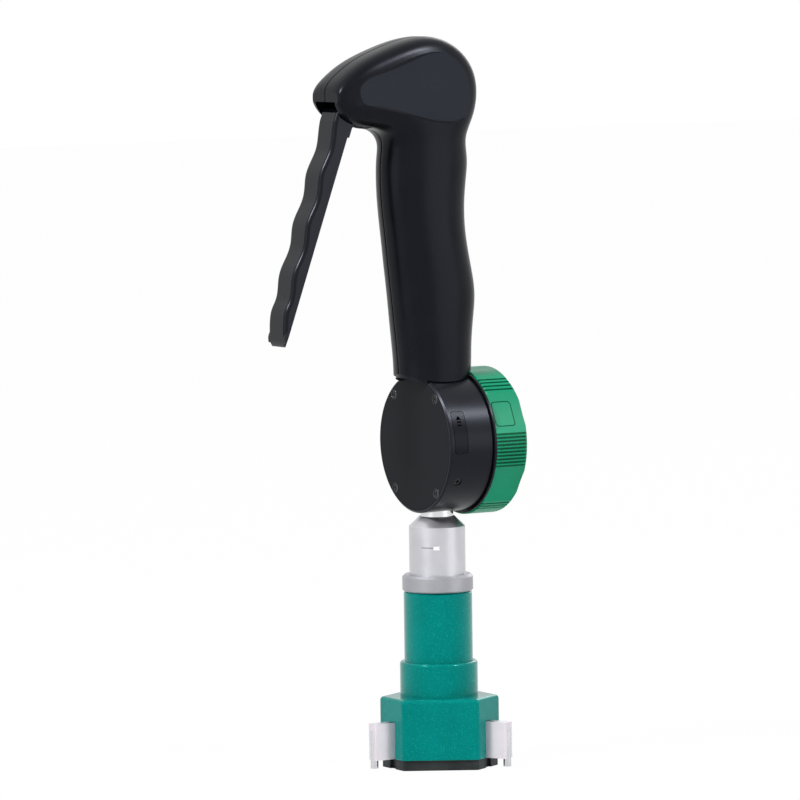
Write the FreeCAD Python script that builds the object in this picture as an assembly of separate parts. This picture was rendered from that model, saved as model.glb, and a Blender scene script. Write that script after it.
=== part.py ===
import FreeCAD, Part
import math
import os

V = FreeCAD.Vector
X_AXIS = V(1, 0, 0)
Y_AXIS = V(0, 1, 0)
Z_AXIS = V(0, 0, 1)

# Three-point bore gauge, in millimetres.
# The origin is the centre of the base plate's underside, on the gauge axis.
# +Z is up, +X is the display side and -X is the trigger side.

# Clearances
run_gap = 0.05          # radial, a shaft or pin turning or sliding in its hole
slide_gap = 0.10        # each side of a block in its slot
seat_gap = 0.05         # radial, a fixed piece dropped into its seat
cover_gap = 0.20        # round a cover or a button in its opening
part_gap = 0.50         # the thin joint between the grip and the display housing
lift_room = 0.40        # spare travel beyond the stroke
far_out = 80.0          # reach of a cutter that passes right through

# Stroke
trigger_angle = 20.0    # full squeeze of the lever
arm_length = 19.2       # trigger pivot to yoke pin
anvil_travel = 8.0      # inward travel of each contact

# Base plate
plate_t = 4.3
plate_long = 30.4
plate_short = 17.4
plate_slot_w = 4.2
plate_screw_ring = 13.0

# Head body
hex_long = 31.1
hex_short = 18.1
hex_h = 24.8
hex_edge = 1.6
lower_tube_r = 16.0
lower_tube_h = 14.1
lower_tube_edge = 1.2
upper_tube_r = 14.07
upper_tube_h = 29.0
upper_tube_edge = 0.8
spindle_bore_r = 4.7
head_bush_r = 6.6
head_bush_h = 6.5

# Contact slides
anvil_angles = (60.0, 180.0, 300.0)
anvil_w = 6.0
anvil_h = 14.8
anvil_face_r = 32.4
anvil_inner_r = 11.2
anvil_edge = 0.8
contact_pin_r = 1.6
contact_pin_centre = 31.4
contact_pin_low = 1.0
contact_pin_h = 15.4
slide_pin_r = 1.0
slide_pin_ring = 14.2
slide_pin_z = 15.0

# Cam spindle
blade_t = 2.0
blade_margin = 2.7
blade_slit_extra = 0.1
spindle_core_r = 2.4
spindle_low = 5.6
socket_r = 4.3
socket_rise = 1.2
socket_floor = 2.0
socket_h = 8.6
spindle_pin_r = 0.8

# Pull rod
rod_r = 2.5
rod_above_yoke = 5.6
rod_nut_r = 4.6
rod_nut_h = 3.2

# Collar, sleeve and neck
collar_r = 14.55
collar_h = 6.8
collar_top_edge = 1.0
collar_low_edge = 0.5
sleeve_r = 11.55
sleeve_h = 19.8
spigot_r = 10.0
spigot_l = 36.0
cone_h = 4.1
neck_r = 6.8
neck_bore_r = 4.2
neck_thread_r = 4.4
neck_throat_r = 2.8
neck_show = 1.7
neck_l_in_sleeve = 40.0
bush_h = 8.0

# Display housing
housing_r = 28.5
housing_bore_r = 25.0
housing_back = -10.0
housing_front = 10.4
rim_edge = 0.6
cover_r = 27.3
cover_t = 1.2
cover_screw_r = 25.2
cover_screw_half_y = 16.2
boss_r = 2.6
boss_l = 5.5
cover_screw_head_r = 1.6
cover_screw_head_h = 0.6
cover_screw_thread_r = 0.85
cover_screw_l = 4.6
cover_screw_sink = 0.2
pad_half_x = 7.0
pad_half_y = 9.5
pad_depth = 4.4
pad_clear = 0.8
clamp_nut_r = 7.6
clamp_nut_h = 3.0
clamp_thread_show = 0.6

# Battery and its door
battery_r = 8.0
battery_t = 3.2
battery_angle = 12.75
battery_centre_r = 16.2
battery_back = -6.6
holder_wall = 1.2
door_back = -7.9
door_front = -1.9
door_half_w = 8.7
door_t = 1.6
door_corner = 1.3
side_screw_x = -4.8
side_screw_angle = -30.0
side_screw_head_r = 1.65
side_screw_head_h = 1.3
side_screw_thread_r = 0.9
side_screw_l = 6.2
side_screw_sink = 0.4

# Sensing parts inside the housing
board_t = 1.2
sensor_board_x = 3.4
sensor_board_half_h = 13.0
scale_half_w = 5.0
scale_h = 18.0
scale_t = 0.5
carrier_r = 4.8
carrier_h = 6.0

# Turning display
spigot_groove_x = 6.4
ring_t = 1.0
ring_depth = 0.7
turn_spigot_back = 5.0
turn_spigot_wall = 3.2
flange_r = 29.6
flange_t = 0.85
bezel_r = 30.2
bezel_front = 26.1
bezel_wall = 4.8
bezel_lip = 1.2
bezel_lip_t = 2.6
bezel_edge = 1.3
scoop_angles = (26.0, -34.0)
scoop_depth = 2.0
scoop_half_angle = 18.0
rib_groove_w = 0.9
rib_groove_depth = 0.65
rib_pitch = 2.8
rib_centre = -4.0
grip_rib_count = 9
lobe_rib_angles = (47.0, 51.0, 55.0, 59.0, -55.5, -59.5, -63.5)
base_disc_t = 1.9
post_h = 1.0
post_r = 1.8
post_inset = 4.4
face_t = 2.0
window_half_w = 18.0
window_half_h = 9.0
window_rise = 5.0
lens_lap = 1.6
lens_t = 1.1
lcd_t = 5.0
lcd_border = 3.0
button_r = 3.4
button_flange = 0.8
button_flange_t = 1.0
button_rise = 1.2
button_travel = 0.8
button_places = ((-13.0, -11.5), (0.0, -15.5), (13.0, -11.5))
switch_half = 2.6
port_half_w = 5.2
port_back = 12.4
port_front = 21.4
port_t = 1.5
port_corner = 1.4
port_socket_half_w = 3.8
port_socket_t = 4.0
port_socket_l = 4.0

# Handle
shell_wall = 2.4
section_points = 20
pivot_x = -38.0
pivot_rise = 109.9
pivot_pin_r = 2.0
pivot_boss_r = 5.0
pivot_boss_grip = 2.4
slot_half_w = 7.75
slot_top_rise = 2.5
slot_depth_x = 5.0
shell_screw_r = 1.25
shell_screw_head_r = 2.3
shell_screw_head_h = 1.6
shell_boss_r = 3.2
shell_screw_grip = 6.0
shell_screw_places = ((9.6, 20.4), (-12.0, 52.4), (9.6, 74.0), (8.0, 124.4), (-24.0, 124.2))
guide_low = 87.5
guide_h = 6.0
guide_bush_r = 6.0
guide_flange_r = 7.4
guide_flange_t = 1.2
dish_depth = 1.5
dish_ramp_h = 2.4
adapter_rise = 14.5
adapter_lip_t = 1.6
adapter_lip_inset = 0.9

# Return spring
spring_wire = 1.1
spring_r = 4.3
spring_turns = 7
spring_l = 38.0
spring_collar_r = 5.6
spring_collar_h = 3.0

# Trigger lever, measured from its pivot
lever_w = 13.5
lever_hub_r = 6.0
lever_core_r = 4.0
lever_channel_w = 7.0
lever_web_w = 10.6
lever_front = 13.0
lever_brow = 11.4
lever_brow_drop = 5.0
lever_shoulder = 10.2
lever_shoulder_drop = 1.8
lever_drop = 12.5
lever_slope = 18.2
lever_foot = 80.5
lever_end = 95.5
lever_back = 3.5
lever_back_drop = 8.1
lever_back_slope = 19.87
lever_wall = 2.8
lever_pad_t = 3.6
lever_edge = 1.7
wave_pitch = 20.0
wave_height = 0.75
wave_first = 26.0
wave_steps = 18
arm_half_h = 3.2
arm_w = 11.4
arm_end_r = 3.8
yoke_pin_r = 1.5
yoke_half_w = 3.2
yoke_half_h = 3.1
yoke_hub_r = 5.4
yoke_hub_h = 10.4

# Radii and heights that follow from the sizes above
bezel_bore_r = bezel_r - bezel_wall
bezel_lip_r = bezel_bore_r - bezel_lip
post_ring = bezel_bore_r - post_inset
hex_top = plate_t + hex_h
lower_top = hex_top + lower_tube_h
head_top = lower_top + upper_tube_h
collar_top = head_top + collar_h
sleeve_top = collar_top + sleeve_h
cone_top = sleeve_top + cone_h
display_z = cone_top + neck_show + housing_r
housing_top = display_z + housing_r
pivot_z = housing_top + pivot_rise
half_angle = math.radians(trigger_angle / 2)
lift = 2 * arm_length * math.sin(half_angle)
yoke_pin_x = pivot_x + arm_length * (1 + math.cos(half_angle)) / 2
yoke_pin_z = pivot_z - lift / 2
anvil_low = plate_t + slide_gap
anvil_top = anvil_low + anvil_h
blade_top = slide_pin_z + blade_margin + 0.5
spigot_low = collar_top - spigot_l
bush_seat_z = spigot_low - seat_gap
socket_low = anvil_top + socket_rise
socket_top = socket_low + socket_h
spindle_pin_z = socket_top - 3.0
rod_low = socket_low + socket_floor
guide_z = housing_top + guide_low
anvil_fork_r = slide_pin_ring + blade_margin + anvil_travel + lift_room
spring_top = guide_z - guide_flange_t - seat_gap
spring_low = spring_top - spring_l

# Side outline of the handle, as sections that swing round from the grip to the nose.
# Each row is the trigger-side point, the back point, the half width and the squareness,
# with heights measured from the top of the display housing.
handle_sections = (
    (-17.2, -6.0, 14.7, -6.0, 13.2, 2.3),
    (-17.4, 3.0, 14.9, 3.0, 13.3, 2.3),
    (-18.0, 11.0, 15.2, 11.0, 13.4, 2.3),
    (-19.2, 22.4, 16.3, 22.4, 13.5, 2.3),
    (-20.2, 32.4, 17.2, 32.4, 13.5, 2.3),
    (-21.4, 43.4, 15.7, 43.4, 13.5, 2.3),
    (-22.6, 55.4, 13.5, 55.4, 13.5, 2.3),
    (-24.0, 68.4, 12.8, 68.4, 13.5, 2.3),
    (-24.6, 79.4, 13.8, 79.4, 13.5, 2.3),
    (-24.3, 88.4, 14.4, 88.8, 13.5, 2.3),
    (-23.7, 93.9, 14.0, 97.0, 13.5, 2.4),
    (-24.6, 97.2, 16.7, 105.0, 13.7, 2.7),
    (-26.2, 99.1, 18.2, 114.3, 13.9, 3.1),
    (-28.4, 100.3, 16.2, 124.4, 14.0, 3.4),
    (-31.2, 100.9, 9.2, 133.0, 14.0, 3.6),
    (-34.4, 101.2, -1.5, 137.6, 13.9, 3.6),
    (-37.8, 101.6, -14.5, 136.8, 13.7, 3.6),
    (-41.0, 102.4, -26.8, 133.0, 13.4, 3.6),
    (-44.0, 103.8, -37.0, 128.6, 13.0, 3.6),
    (-46.6, 105.7, -44.0, 124.0, 12.3, 3.6),
    (-48.7, 108.2, -48.4, 120.0, 11.5, 3.4),
    (-50.0, 110.8, -50.0, 116.6, 10.0, 3.2),
)
nose_solid_w = 12.0

# The shallow dish on each side of the handle head, in the side view: its flat floor,
# and the rim to which its soft ramp climbs
dish_floor = ((-40.0, 113.0), (-40.5, 117.5), (-27.4, 124.2), (-12.3, 129.5), (-2.0, 131.2),
              (5.5, 127.0), (10.2, 120.0), (10.6, 107.5), (-17.5, 107.0), (-34.5, 110.6))
dish_rim = ((-42.6, 112.6), (-43.6, 120.0), (-30.6, 127.9), (-15.2, 133.6), (-3.4, 135.2),
            (7.6, 130.2), (13.0, 121.5), (13.2, 105.5), (-17.8, 104.6), (-35.5, 108.0))


def box(x0, x1, y0, y1, z0, z1):
    """Box between two corners."""
    return Part.makeBox(x1 - x0, y1 - y0, z1 - z0, V(x0, y0, z0))


def upright(radius, low, high, x=0.0, y=0.0):
    """Cylinder along Z between two heights."""
    return Part.makeCylinder(radius, high - low, V(x, y, low), Z_AXIS)


def facing(radius, back, front, y=0.0, z=0.0):
    """Cylinder along X between two depths, placed from the display axis."""
    return Part.makeCylinder(radius, front - back, V(back, y, display_z + z), X_AXIS)


def crossing(radius, y0, y1, x, z):
    """Cylinder along Y between two widths."""
    return Part.makeCylinder(radius, y1 - y0, V(x, y0, z), Y_AXIS)


def turned(corners):
    """Solid turned about the gauge axis from (radius, height) corners."""
    points = [V(r, 0, z) for r, z in corners]
    face = Part.Face(Part.makePolygon(points + points[:1]))
    return face.revolve(V(0, 0, 0), Z_AXIS, 360)


def turned_on_display(corners):
    """Solid turned about the display axis from (depth, radius) corners."""
    points = [V(x, 0, display_z + r) for x, r in corners]
    face = Part.Face(Part.makePolygon(points + points[:1]))
    return face.revolve(V(0, 0, display_z), X_AXIS, 360)


def side_plate(corners, y0, y1):
    """Plate cut to (x, z) corners in the side view, between two widths."""
    points = [V(x, y0, z) for x, z in corners]
    face = Part.Face(Part.makePolygon(points + points[:1]))
    return face.extrude(V(0, y1 - y0, 0))


def side_slot(x0, z0, x1, z1, radius, y0, y1):
    """Round-ended bar or slot between two points of the side view."""
    run = V(x1 - x0, 0, z1 - z0)
    across = V(-run.z, 0, run.x).normalize() * radius
    ends = (V(x0, 0, z0), V(x1, 0, z1))
    corners = [ends[0] + across, ends[1] + across, ends[1] - across, ends[0] - across]
    bar = side_plate([(p.x, p.z) for p in corners], y0, y1)
    for end in ends:
        bar = bar.fuse(crossing(radius, y0, y1, end.x, end.z))
    return bar


def about_axis(shape, angle):
    """Copy of a shape turned about the gauge axis."""
    copy = shape.copy()
    copy.rotate(V(0, 0, 0), Z_AXIS, angle)
    return copy


def about_display(shape, angle):
    """Copy of a shape turned about the display axis, from -Y towards +Z."""
    copy = shape.copy()
    copy.rotate(V(0, 0, display_z), X_AXIS, -angle)
    return copy


def rim_block(angle, r0, r1, half_w, back, front):
    """Block that points away from the display axis at an angle from -Y."""
    block = box(back, front, -r1, -r0, display_z - half_w, display_z + half_w)
    return about_display(block, angle)


def rounded_block(angle, r0, r1, half_w, back, front, corner):
    """Block like rim_block with its four radial edges rounded."""
    block = box(back, front, -r1, -r0, display_z - half_w, display_z + half_w)
    radial = [e for e in block.Edges if e.BoundBox.YLength > r1 - r0 - 1e-6]
    return about_display(block.makeFillet(corner, radial), angle)


def fused(shapes):
    """One solid from several that meet."""
    whole = shapes[0]
    for shape in shapes[1:]:
        whole = whole.fuse(shape)
    return whole.removeSplitter()


def cut_all(shape, tools):
    """Shape with every tool taken away."""
    for tool in tools:
        shape = shape.cut(tool)
    return shape


def hexagon(long_side, short_side, low, high):
    """Prism on a triangle with cut corners, which face the three contacts."""
    reach = (short_side + 2 * long_side) / (2 * math.sqrt(3))
    corners = []
    for angle in anvil_angles:
        turn = math.radians(angle)
        for side in (-short_side / 2, short_side / 2):
            x = reach * math.cos(turn) - side * math.sin(turn)
            y = reach * math.sin(turn) + side * math.cos(turn)
            corners.append(V(x, y, low))
    face = Part.Face(Part.makePolygon(corners + corners[:1]))
    return face.extrude(V(0, 0, high - low))


def upright_edges(shape):
    """Straight edges of a shape that run along Z."""
    found = []
    for edge in shape.Edges:
        start = edge.Vertexes[0].Point
        end = edge.Vertexes[-1].Point
        if abs(start.x - end.x) < 1e-6 and abs(start.y - end.y) < 1e-6 and abs(start.z - end.z) > 1e-6:
            found.append(edge)
    return found


def edges_at_height(shape, z):
    """Edges of a shape that lie at one height."""
    return [e for e in shape.Edges if abs(e.BoundBox.ZMin - z) < 1e-6 and abs(e.BoundBox.ZMax - z) < 1e-6]


def slotted_screw(head_r, head_h, shank_r, length, place, direction):
    """Pan-head screw with a cross recess, its head's top at the place and its shank along the direction."""
    head = Part.makeCylinder(head_r, head_h, V(0, 0, 0), Z_AXIS)
    shank = Part.makeCylinder(shank_r, length, V(0, 0, 0), Z_AXIS)
    recess_w = head_r * 0.16
    recess_l = head_r * 0.62
    recess = box(-recess_l, recess_l, -recess_w, recess_w, 0, head_h * 0.45)
    recess = recess.fuse(box(-recess_w, recess_w, -recess_l, recess_l, 0, head_h * 0.45))
    screw = head.fuse(shank).removeSplitter().cut(recess)
    screw.Placement = FreeCAD.Placement(place, FreeCAD.Rotation(Z_AXIS, direction))
    return screw


# Measuring head

def base_plate():
    plate = hexagon(plate_long, plate_short, 0, plate_t)
    plate = plate.makeFillet(hex_edge, upright_edges(plate))
    inner = contact_pin_centre - anvil_travel - contact_pin_r - lift_room / 2
    tools = []
    for angle in anvil_angles:
        slot = box(inner, anvil_face_r, -plate_slot_w / 2, plate_slot_w / 2, -1, plate_t + 1)
        tools.append(about_axis(slot, angle))
        hole = upright(1.3, -1, plate_t + 1, plate_screw_ring)
        sink = upright(2.4, -1, 1.8, plate_screw_ring)
        tools.append(about_axis(hole.fuse(sink), angle + 60))
    return cut_all(plate, tools)


def base_plate_screws():
    screws = []
    for angle in anvil_angles:
        turn = math.radians(angle + 60)
        place = V(plate_screw_ring * math.cos(turn), plate_screw_ring * math.sin(turn), 0.3)
        screws.append(slotted_screw(2.3, 1.5, 1.25, 9.0, place, Z_AXIS))
    return Part.makeCompound(screws)


def head_body():
    body = hexagon(hex_long, hex_short, plate_t, hex_top)
    body = body.makeFillet(hex_edge, upright_edges(body))
    body = body.makeFillet(hex_edge, edges_at_height(body, hex_top))
    lower = upright(lower_tube_r, hex_top - hex_edge, lower_top)
    lower = lower.makeFillet(lower_tube_edge, edges_at_height(lower, lower_top))
    upper = upright(upper_tube_r, lower_top - lower_tube_edge - 1, head_top)
    upper = upper.makeChamfer(upper_tube_edge, edges_at_height(upper, head_top))
    body = fused([body, lower, upper])
    tools = [upright(spindle_bore_r, plate_t - 1, bush_seat_z),
             upright(head_bush_r, bush_seat_z - head_bush_h, bush_seat_z),
             upright(spigot_r + seat_gap, bush_seat_z, head_top + 1)]
    slot_half = anvil_w / 2 + slide_gap
    slit_half = blade_t / 2 + blade_slit_extra + slide_gap
    blade_room = slide_pin_ring + blade_margin + lift_room
    for angle in anvil_angles:
        slot = box(0, anvil_face_r + 5, -slot_half, slot_half, plate_t - 1, anvil_top + slide_gap)
        slit = box(0, blade_room, -slit_half, slit_half, plate_t, blade_top + lift + lift_room)
        hole = upright(1.25, plate_t - 1, 10.5, plate_screw_ring)
        tools.append(about_axis(slot, angle))
        tools.append(about_axis(slit, angle))
        tools.append(about_axis(hole, angle + 60))
    return cut_all(body, tools)


def head_bush():
    bush = upright(head_bush_r, bush_seat_z - head_bush_h, bush_seat_z)
    return bush.cut(upright(rod_r + run_gap, 0, head_top))


def anvil(angle):
    block = box(anvil_inner_r, anvil_face_r, -anvil_w / 2, anvil_w / 2, anvil_low, anvil_top)
    front = [e for e in upright_edges(block) if e.Vertexes[0].Point.x > anvil_inner_r + 1]
    block = block.makeFillet(anvil_edge, front)
    fork_half = blade_t / 2 + blade_slit_extra
    fork = box(anvil_inner_r - 1, anvil_fork_r, -fork_half, fork_half, anvil_low - 1, anvil_top + 1)
    pin_hole = crossing(slide_pin_r, -anvil_w, anvil_w, slide_pin_ring, slide_pin_z)
    contact = upright(contact_pin_r, contact_pin_low, contact_pin_low + contact_pin_h, contact_pin_centre)
    return about_axis(cut_all(block, [fork, pin_hole, contact]), angle)


def contact_pin(angle):
    pin = upright(contact_pin_r, contact_pin_low, contact_pin_low + contact_pin_h, contact_pin_centre)
    return about_axis(pin, angle)


def slide_pin(angle):
    pin = crossing(slide_pin_r, -anvil_w / 2, anvil_w / 2, slide_pin_ring, slide_pin_z)
    return about_axis(pin, angle)


def cam_spindle():
    """Core with three blades; each blade's slot drives one contact inward as the spindle rises."""
    high_r = slide_pin_ring
    high_z = slide_pin_z
    low_r = slide_pin_ring - anvil_travel
    low_z = slide_pin_z - lift
    slope = (high_z - low_z) / (high_r - low_r)
    tip_r = high_r + blade_margin
    edge_z = high_z - blade_margin * math.sqrt(1 + slope * slope)
    foot_r = high_r - (edge_z - spindle_low) / slope
    tip_z = edge_z + (tip_r - high_r) * slope
    corners = ((0, spindle_low), (foot_r, spindle_low), (tip_r, tip_z), (tip_r, blade_top), (0, blade_top))
    blade = side_plate(corners, -blade_t / 2, blade_t / 2)
    slot = side_slot(low_r, low_z, high_r, high_z, slide_pin_r + run_gap, -blade_t, blade_t)
    blade = blade.cut(slot)
    pieces = [upright(spindle_core_r, spindle_low, socket_low + 1), upright(socket_r, socket_low, socket_top)]
    pieces += [about_axis(blade, angle) for angle in anvil_angles]
    spindle = fused(pieces)
    bore = upright(rod_r, rod_low, socket_top + 1)
    return spindle.cut(bore).cut(crossing(spindle_pin_r, -socket_r, socket_r, 0, spindle_pin_z))


def spindle_pin():
    half = socket_r - 0.2
    return crossing(spindle_pin_r, -half, half, 0, spindle_pin_z)


# Stem

def head_collar():
    bore = spigot_r + seat_gap
    return turned(((bore, head_top), (collar_r - collar_low_edge, head_top), (collar_r, head_top + collar_low_edge),
                   (collar_r, collar_top - collar_top_edge), (collar_r - collar_top_edge, collar_top),
                   (bore, collar_top)))


def stem_sleeve():
    bore = neck_r + seat_gap
    step = sleeve_top - neck_l_in_sleeve
    throat = neck_bore_r
    return turned(((throat, spigot_low), (spigot_r, spigot_low), (spigot_r, collar_top), (sleeve_r, collar_top),
                   (sleeve_r, sleeve_top), (bore + 0.4, cone_top), (bore, cone_top), (bore, step), (throat, step)))


def stem_tube():
    """Neck that seats on the round of the housing and goes through its wall with a smaller thread."""
    low = sleeve_top - neck_l_in_sleeve + seat_gap
    high = display_z - housing_bore_r + pad_depth + clamp_nut_h + clamp_thread_show
    neck = upright(neck_r, low, display_z).cut(facing(housing_r, housing_back, housing_front))
    neck = neck.common(upright(neck_r + 1, low, display_z - housing_r + 2))
    tube = fused([neck, upright(neck_thread_r, cone_top, high)])
    return cut_all(tube, [upright(neck_bore_r, low - 1, cone_top), upright(neck_throat_r, low, high + 1)])


def stem_bushes():
    low = sleeve_top - neck_l_in_sleeve + seat_gap
    bushes = []
    for z in (low, cone_top - bush_h):
        bushes.append(upright(neck_bore_r, z, z + bush_h).cut(upright(rod_r + run_gap, z - 1, z + bush_h + 1)))
    return Part.makeCompound(bushes)


def clamp_nut(radius, low):
    """Slotted ring nut inside the display housing."""
    nut = upright(clamp_nut_r, low, low + clamp_nut_h).cut(upright(radius, low - 1, low + clamp_nut_h + 1))
    for angle in (0, 90):
        slot = box(-clamp_nut_r, clamp_nut_r, -0.9, 0.9, low + clamp_nut_h - 1.1, low + clamp_nut_h + 1)
        nut = nut.cut(about_axis(slot, angle).cut(upright(radius + 0.8, low, low + clamp_nut_h + 2)))
    return nut


def pull_rod():
    rod = upright(rod_r, rod_low, yoke_pin_z + yoke_hub_h / 2 + rod_above_yoke)
    return rod.cut(crossing(spindle_pin_r, -rod_r - 1, rod_r + 1, 0, spindle_pin_z))


# Display housing

def door_block(gap):
    """Battery door's outline, or with a gap the opening round it."""
    return rounded_block(battery_angle, housing_r - door_t - gap, housing_r + 1, door_half_w + gap,
                         door_back - gap, door_front + gap, door_corner + gap)


def cover_screw_places():
    """Places of the back cover's screws, from the display axis."""
    rise = math.sqrt(cover_screw_r ** 2 - cover_screw_half_y ** 2)
    return [(y, z) for y in (-cover_screw_half_y, cover_screw_half_y) for z in (-rise, rise)]


def display_housing():
    """Drum with clamping pads for the neck and the grip, screw bosses, and the battery's opening."""
    floor_x = housing_back + cover_t
    boss_end = floor_x + boss_l
    drum = facing(housing_r, housing_back, housing_front)
    rims = [e for e in drum.Edges if abs(e.BoundBox.XMin - e.BoundBox.XMax) < 1e-6]
    drum = drum.makeChamfer(rim_edge, rims)
    drum = drum.cut(facing(housing_bore_r, floor_x, housing_front + 1))
    pads = []
    for side in (-1, 1):
        faces = sorted((display_z + side * (housing_bore_r - pad_depth), display_z + side * (housing_bore_r + 1)))
        pads.append(box(-pad_half_x, turn_spigot_back - pad_clear, -pad_half_y, pad_half_y, *faces))
    bosses = [facing(boss_r, floor_x, boss_end, y, z) for y, z in cover_screw_places()]
    drum = fused([drum] + pads + bosses)
    tools = [facing(cover_r, housing_back - 1, floor_x), door_block(cover_gap)]
    for y, z in cover_screw_places():
        tools.append(facing(cover_screw_thread_r + seat_gap, housing_back, boss_end - 1, y, z))
    tools.append(upright(neck_thread_r + seat_gap, display_z - far_out, display_z - 10))
    tools.append(upright(neck_thread_r + seat_gap, display_z + 10, display_z + far_out))
    mouth = battery_t / 2 + 2 * cover_gap
    middle = battery_back + battery_t / 2
    tools.append(rim_block(battery_angle, housing_bore_r - boss_l, housing_r, battery_r + cover_gap,
                           middle - mouth, middle + mouth))
    for radius, depth in ((side_screw_head_r + cover_gap, side_screw_sink + side_screw_head_h),
                          (side_screw_thread_r + seat_gap, housing_r)):
        hole = Part.makeCylinder(radius, depth, V(side_screw_x, -housing_r, display_z), Y_AXIS)
        tools.append(about_display(hole, side_screw_angle))
    tools.append(facing(housing_bore_r + ring_depth + seat_gap, spigot_groove_x - seat_gap,
                        spigot_groove_x + ring_t + seat_gap))
    return cut_all(drum, tools)


def back_cover():
    disc = facing(cover_r - cover_gap, housing_back, housing_back + cover_t)
    tools = []
    for y, z in cover_screw_places():
        tools.append(facing(cover_screw_head_r + cover_gap, housing_back - 1,
                            housing_back + cover_screw_sink + cover_screw_head_h, y, z))
        tools.append(facing(cover_screw_thread_r + seat_gap, housing_back, housing_back + 2 * cover_t, y, z))
    return cut_all(disc, tools)


def back_cover_screws():
    screws = []
    for y, z in cover_screw_places():
        place = V(housing_back + cover_screw_sink, y, display_z + z)
        screws.append(slotted_screw(cover_screw_head_r, cover_screw_head_h, cover_screw_thread_r, cover_screw_l,
                                    place, X_AXIS))
    return Part.makeCompound(screws)


def side_screw():
    place = V(side_screw_x, -housing_r + side_screw_sink, display_z)
    screw = slotted_screw(side_screw_head_r, side_screw_head_h, side_screw_thread_r, side_screw_l, place, Y_AXIS)
    return about_display(screw, side_screw_angle)


def battery_door():
    drum = facing(housing_r, housing_back, housing_front)
    block = door_block(0)
    return block.common(drum)


def battery():
    middle = battery_back + battery_t / 2
    cell = Part.makeCylinder(battery_r, battery_t, V(battery_back, -battery_centre_r, display_z), X_AXIS)
    rims = [e for e in cell.Edges if abs(e.BoundBox.XMin - e.BoundBox.XMax) < 1e-6]
    cell = cell.makeChamfer(0.3, rims)
    return about_display(cell, battery_angle)


def battery_holder():
    """Tray in which the coin cell stands, open towards the hatch."""
    back = housing_back + cover_t
    front = battery_back + battery_t + holder_wall
    play = 0.15
    tray = box(back, front, -battery_centre_r - battery_r + 2, -battery_centre_r + battery_r + holder_wall,
               display_z - battery_r - holder_wall, display_z + battery_r + holder_wall)
    pocket = Part.makeCylinder(battery_r + play, battery_t + 2 * play,
                               V(battery_back - play, -battery_centre_r, display_z), X_AXIS)
    mouth = box(battery_back - play, battery_back + battery_t + play, -housing_r, -battery_centre_r,
                display_z - battery_r - 2 * play, display_z + battery_r + 2 * play)
    window = box(battery_back, front + 1, -housing_r, -battery_centre_r + battery_r / 2,
                 display_z - battery_r / 2, display_z + battery_r / 2)
    tray = tray.common(facing(housing_bore_r - 0.1, back, front))
    tray = cut_all(tray, [pocket, mouth, window])
    return about_display(tray, battery_angle)


def retaining_ring():
    """Snap ring that sits in the housing's groove and runs in the turning display's groove."""
    outer = housing_bore_r + ring_depth
    inner = housing_bore_r - ring_depth
    ring = facing(outer, spigot_groove_x, spigot_groove_x + ring_t)
    ring = ring.cut(facing(inner, spigot_groove_x - 1, spigot_groove_x + ring_t + 1))
    return ring.cut(rim_block(-90, inner - 2, outer + 2, 3.0, spigot_groove_x - 1, spigot_groove_x + ring_t + 1))


def sensor_board():
    plate = box(sensor_board_x, sensor_board_x + board_t, -housing_bore_r, housing_bore_r,
                display_z - sensor_board_half_h, display_z + sensor_board_half_h)
    return plate.common(facing(housing_bore_r - 0.1, sensor_board_x - 1, sensor_board_x + 3))


def scale_carrier():
    """Clamp on the rod with the scale strip that the sensor board reads."""
    strip_front = sensor_board_x - 0.3
    strip = box(strip_front - scale_t, strip_front, -scale_half_w, scale_half_w,
                display_z - lift / 2 - scale_h / 2, display_z - lift / 2 + scale_h / 2)
    low = display_z - lift / 2 - carrier_h / 2
    clamp = upright(carrier_r, low, low + carrier_h)
    clamp = clamp.common(box(-carrier_r, strip_front, -carrier_r, carrier_r, low, low + carrier_h))
    return clamp.fuse(strip).removeSplitter().cut(upright(rod_r, low - scale_h, low + scale_h * 2))


# Turning display

def display_base():
    """Turning carrier: a spigot in the housing's bore, a flange under the bezel and posts for the board."""
    back = housing_front + run_gap
    front = back + flange_t
    spigot_out = housing_bore_r - run_gap - 0.02
    disc_front = front + base_disc_t
    base = turned_on_display(((turn_spigot_back, spigot_out - turn_spigot_wall), (turn_spigot_back, spigot_out),
                              (back, spigot_out), (back, flange_r), (front, flange_r), (front, bezel_bore_r - 0.1),
                              (disc_front, bezel_bore_r - 0.1), (disc_front, 0), (back, 0),
                              (back, spigot_out - turn_spigot_wall)))
    posts = []
    for angle in (45, 135, 225, 315):
        post = Part.makeCylinder(post_r, post_h, V(disc_front, -post_ring, display_z), X_AXIS)
        posts.append(about_display(post, angle))
    base = fused([base] + posts)
    groove_in = housing_bore_r - ring_depth - run_gap
    groove = facing(housing_bore_r + 1, spigot_groove_x - run_gap * 2, spigot_groove_x + ring_t + run_gap * 2)
    return base.cut(groove.cut(facing(groove_in, turn_spigot_back - 1, back)))


bezel_back = housing_front + run_gap + flange_t
face_front = bezel_front - bezel_lip_t
face_back = face_front - face_t
board_back = bezel_back + base_disc_t + post_h
board_front = board_back + board_t


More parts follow.
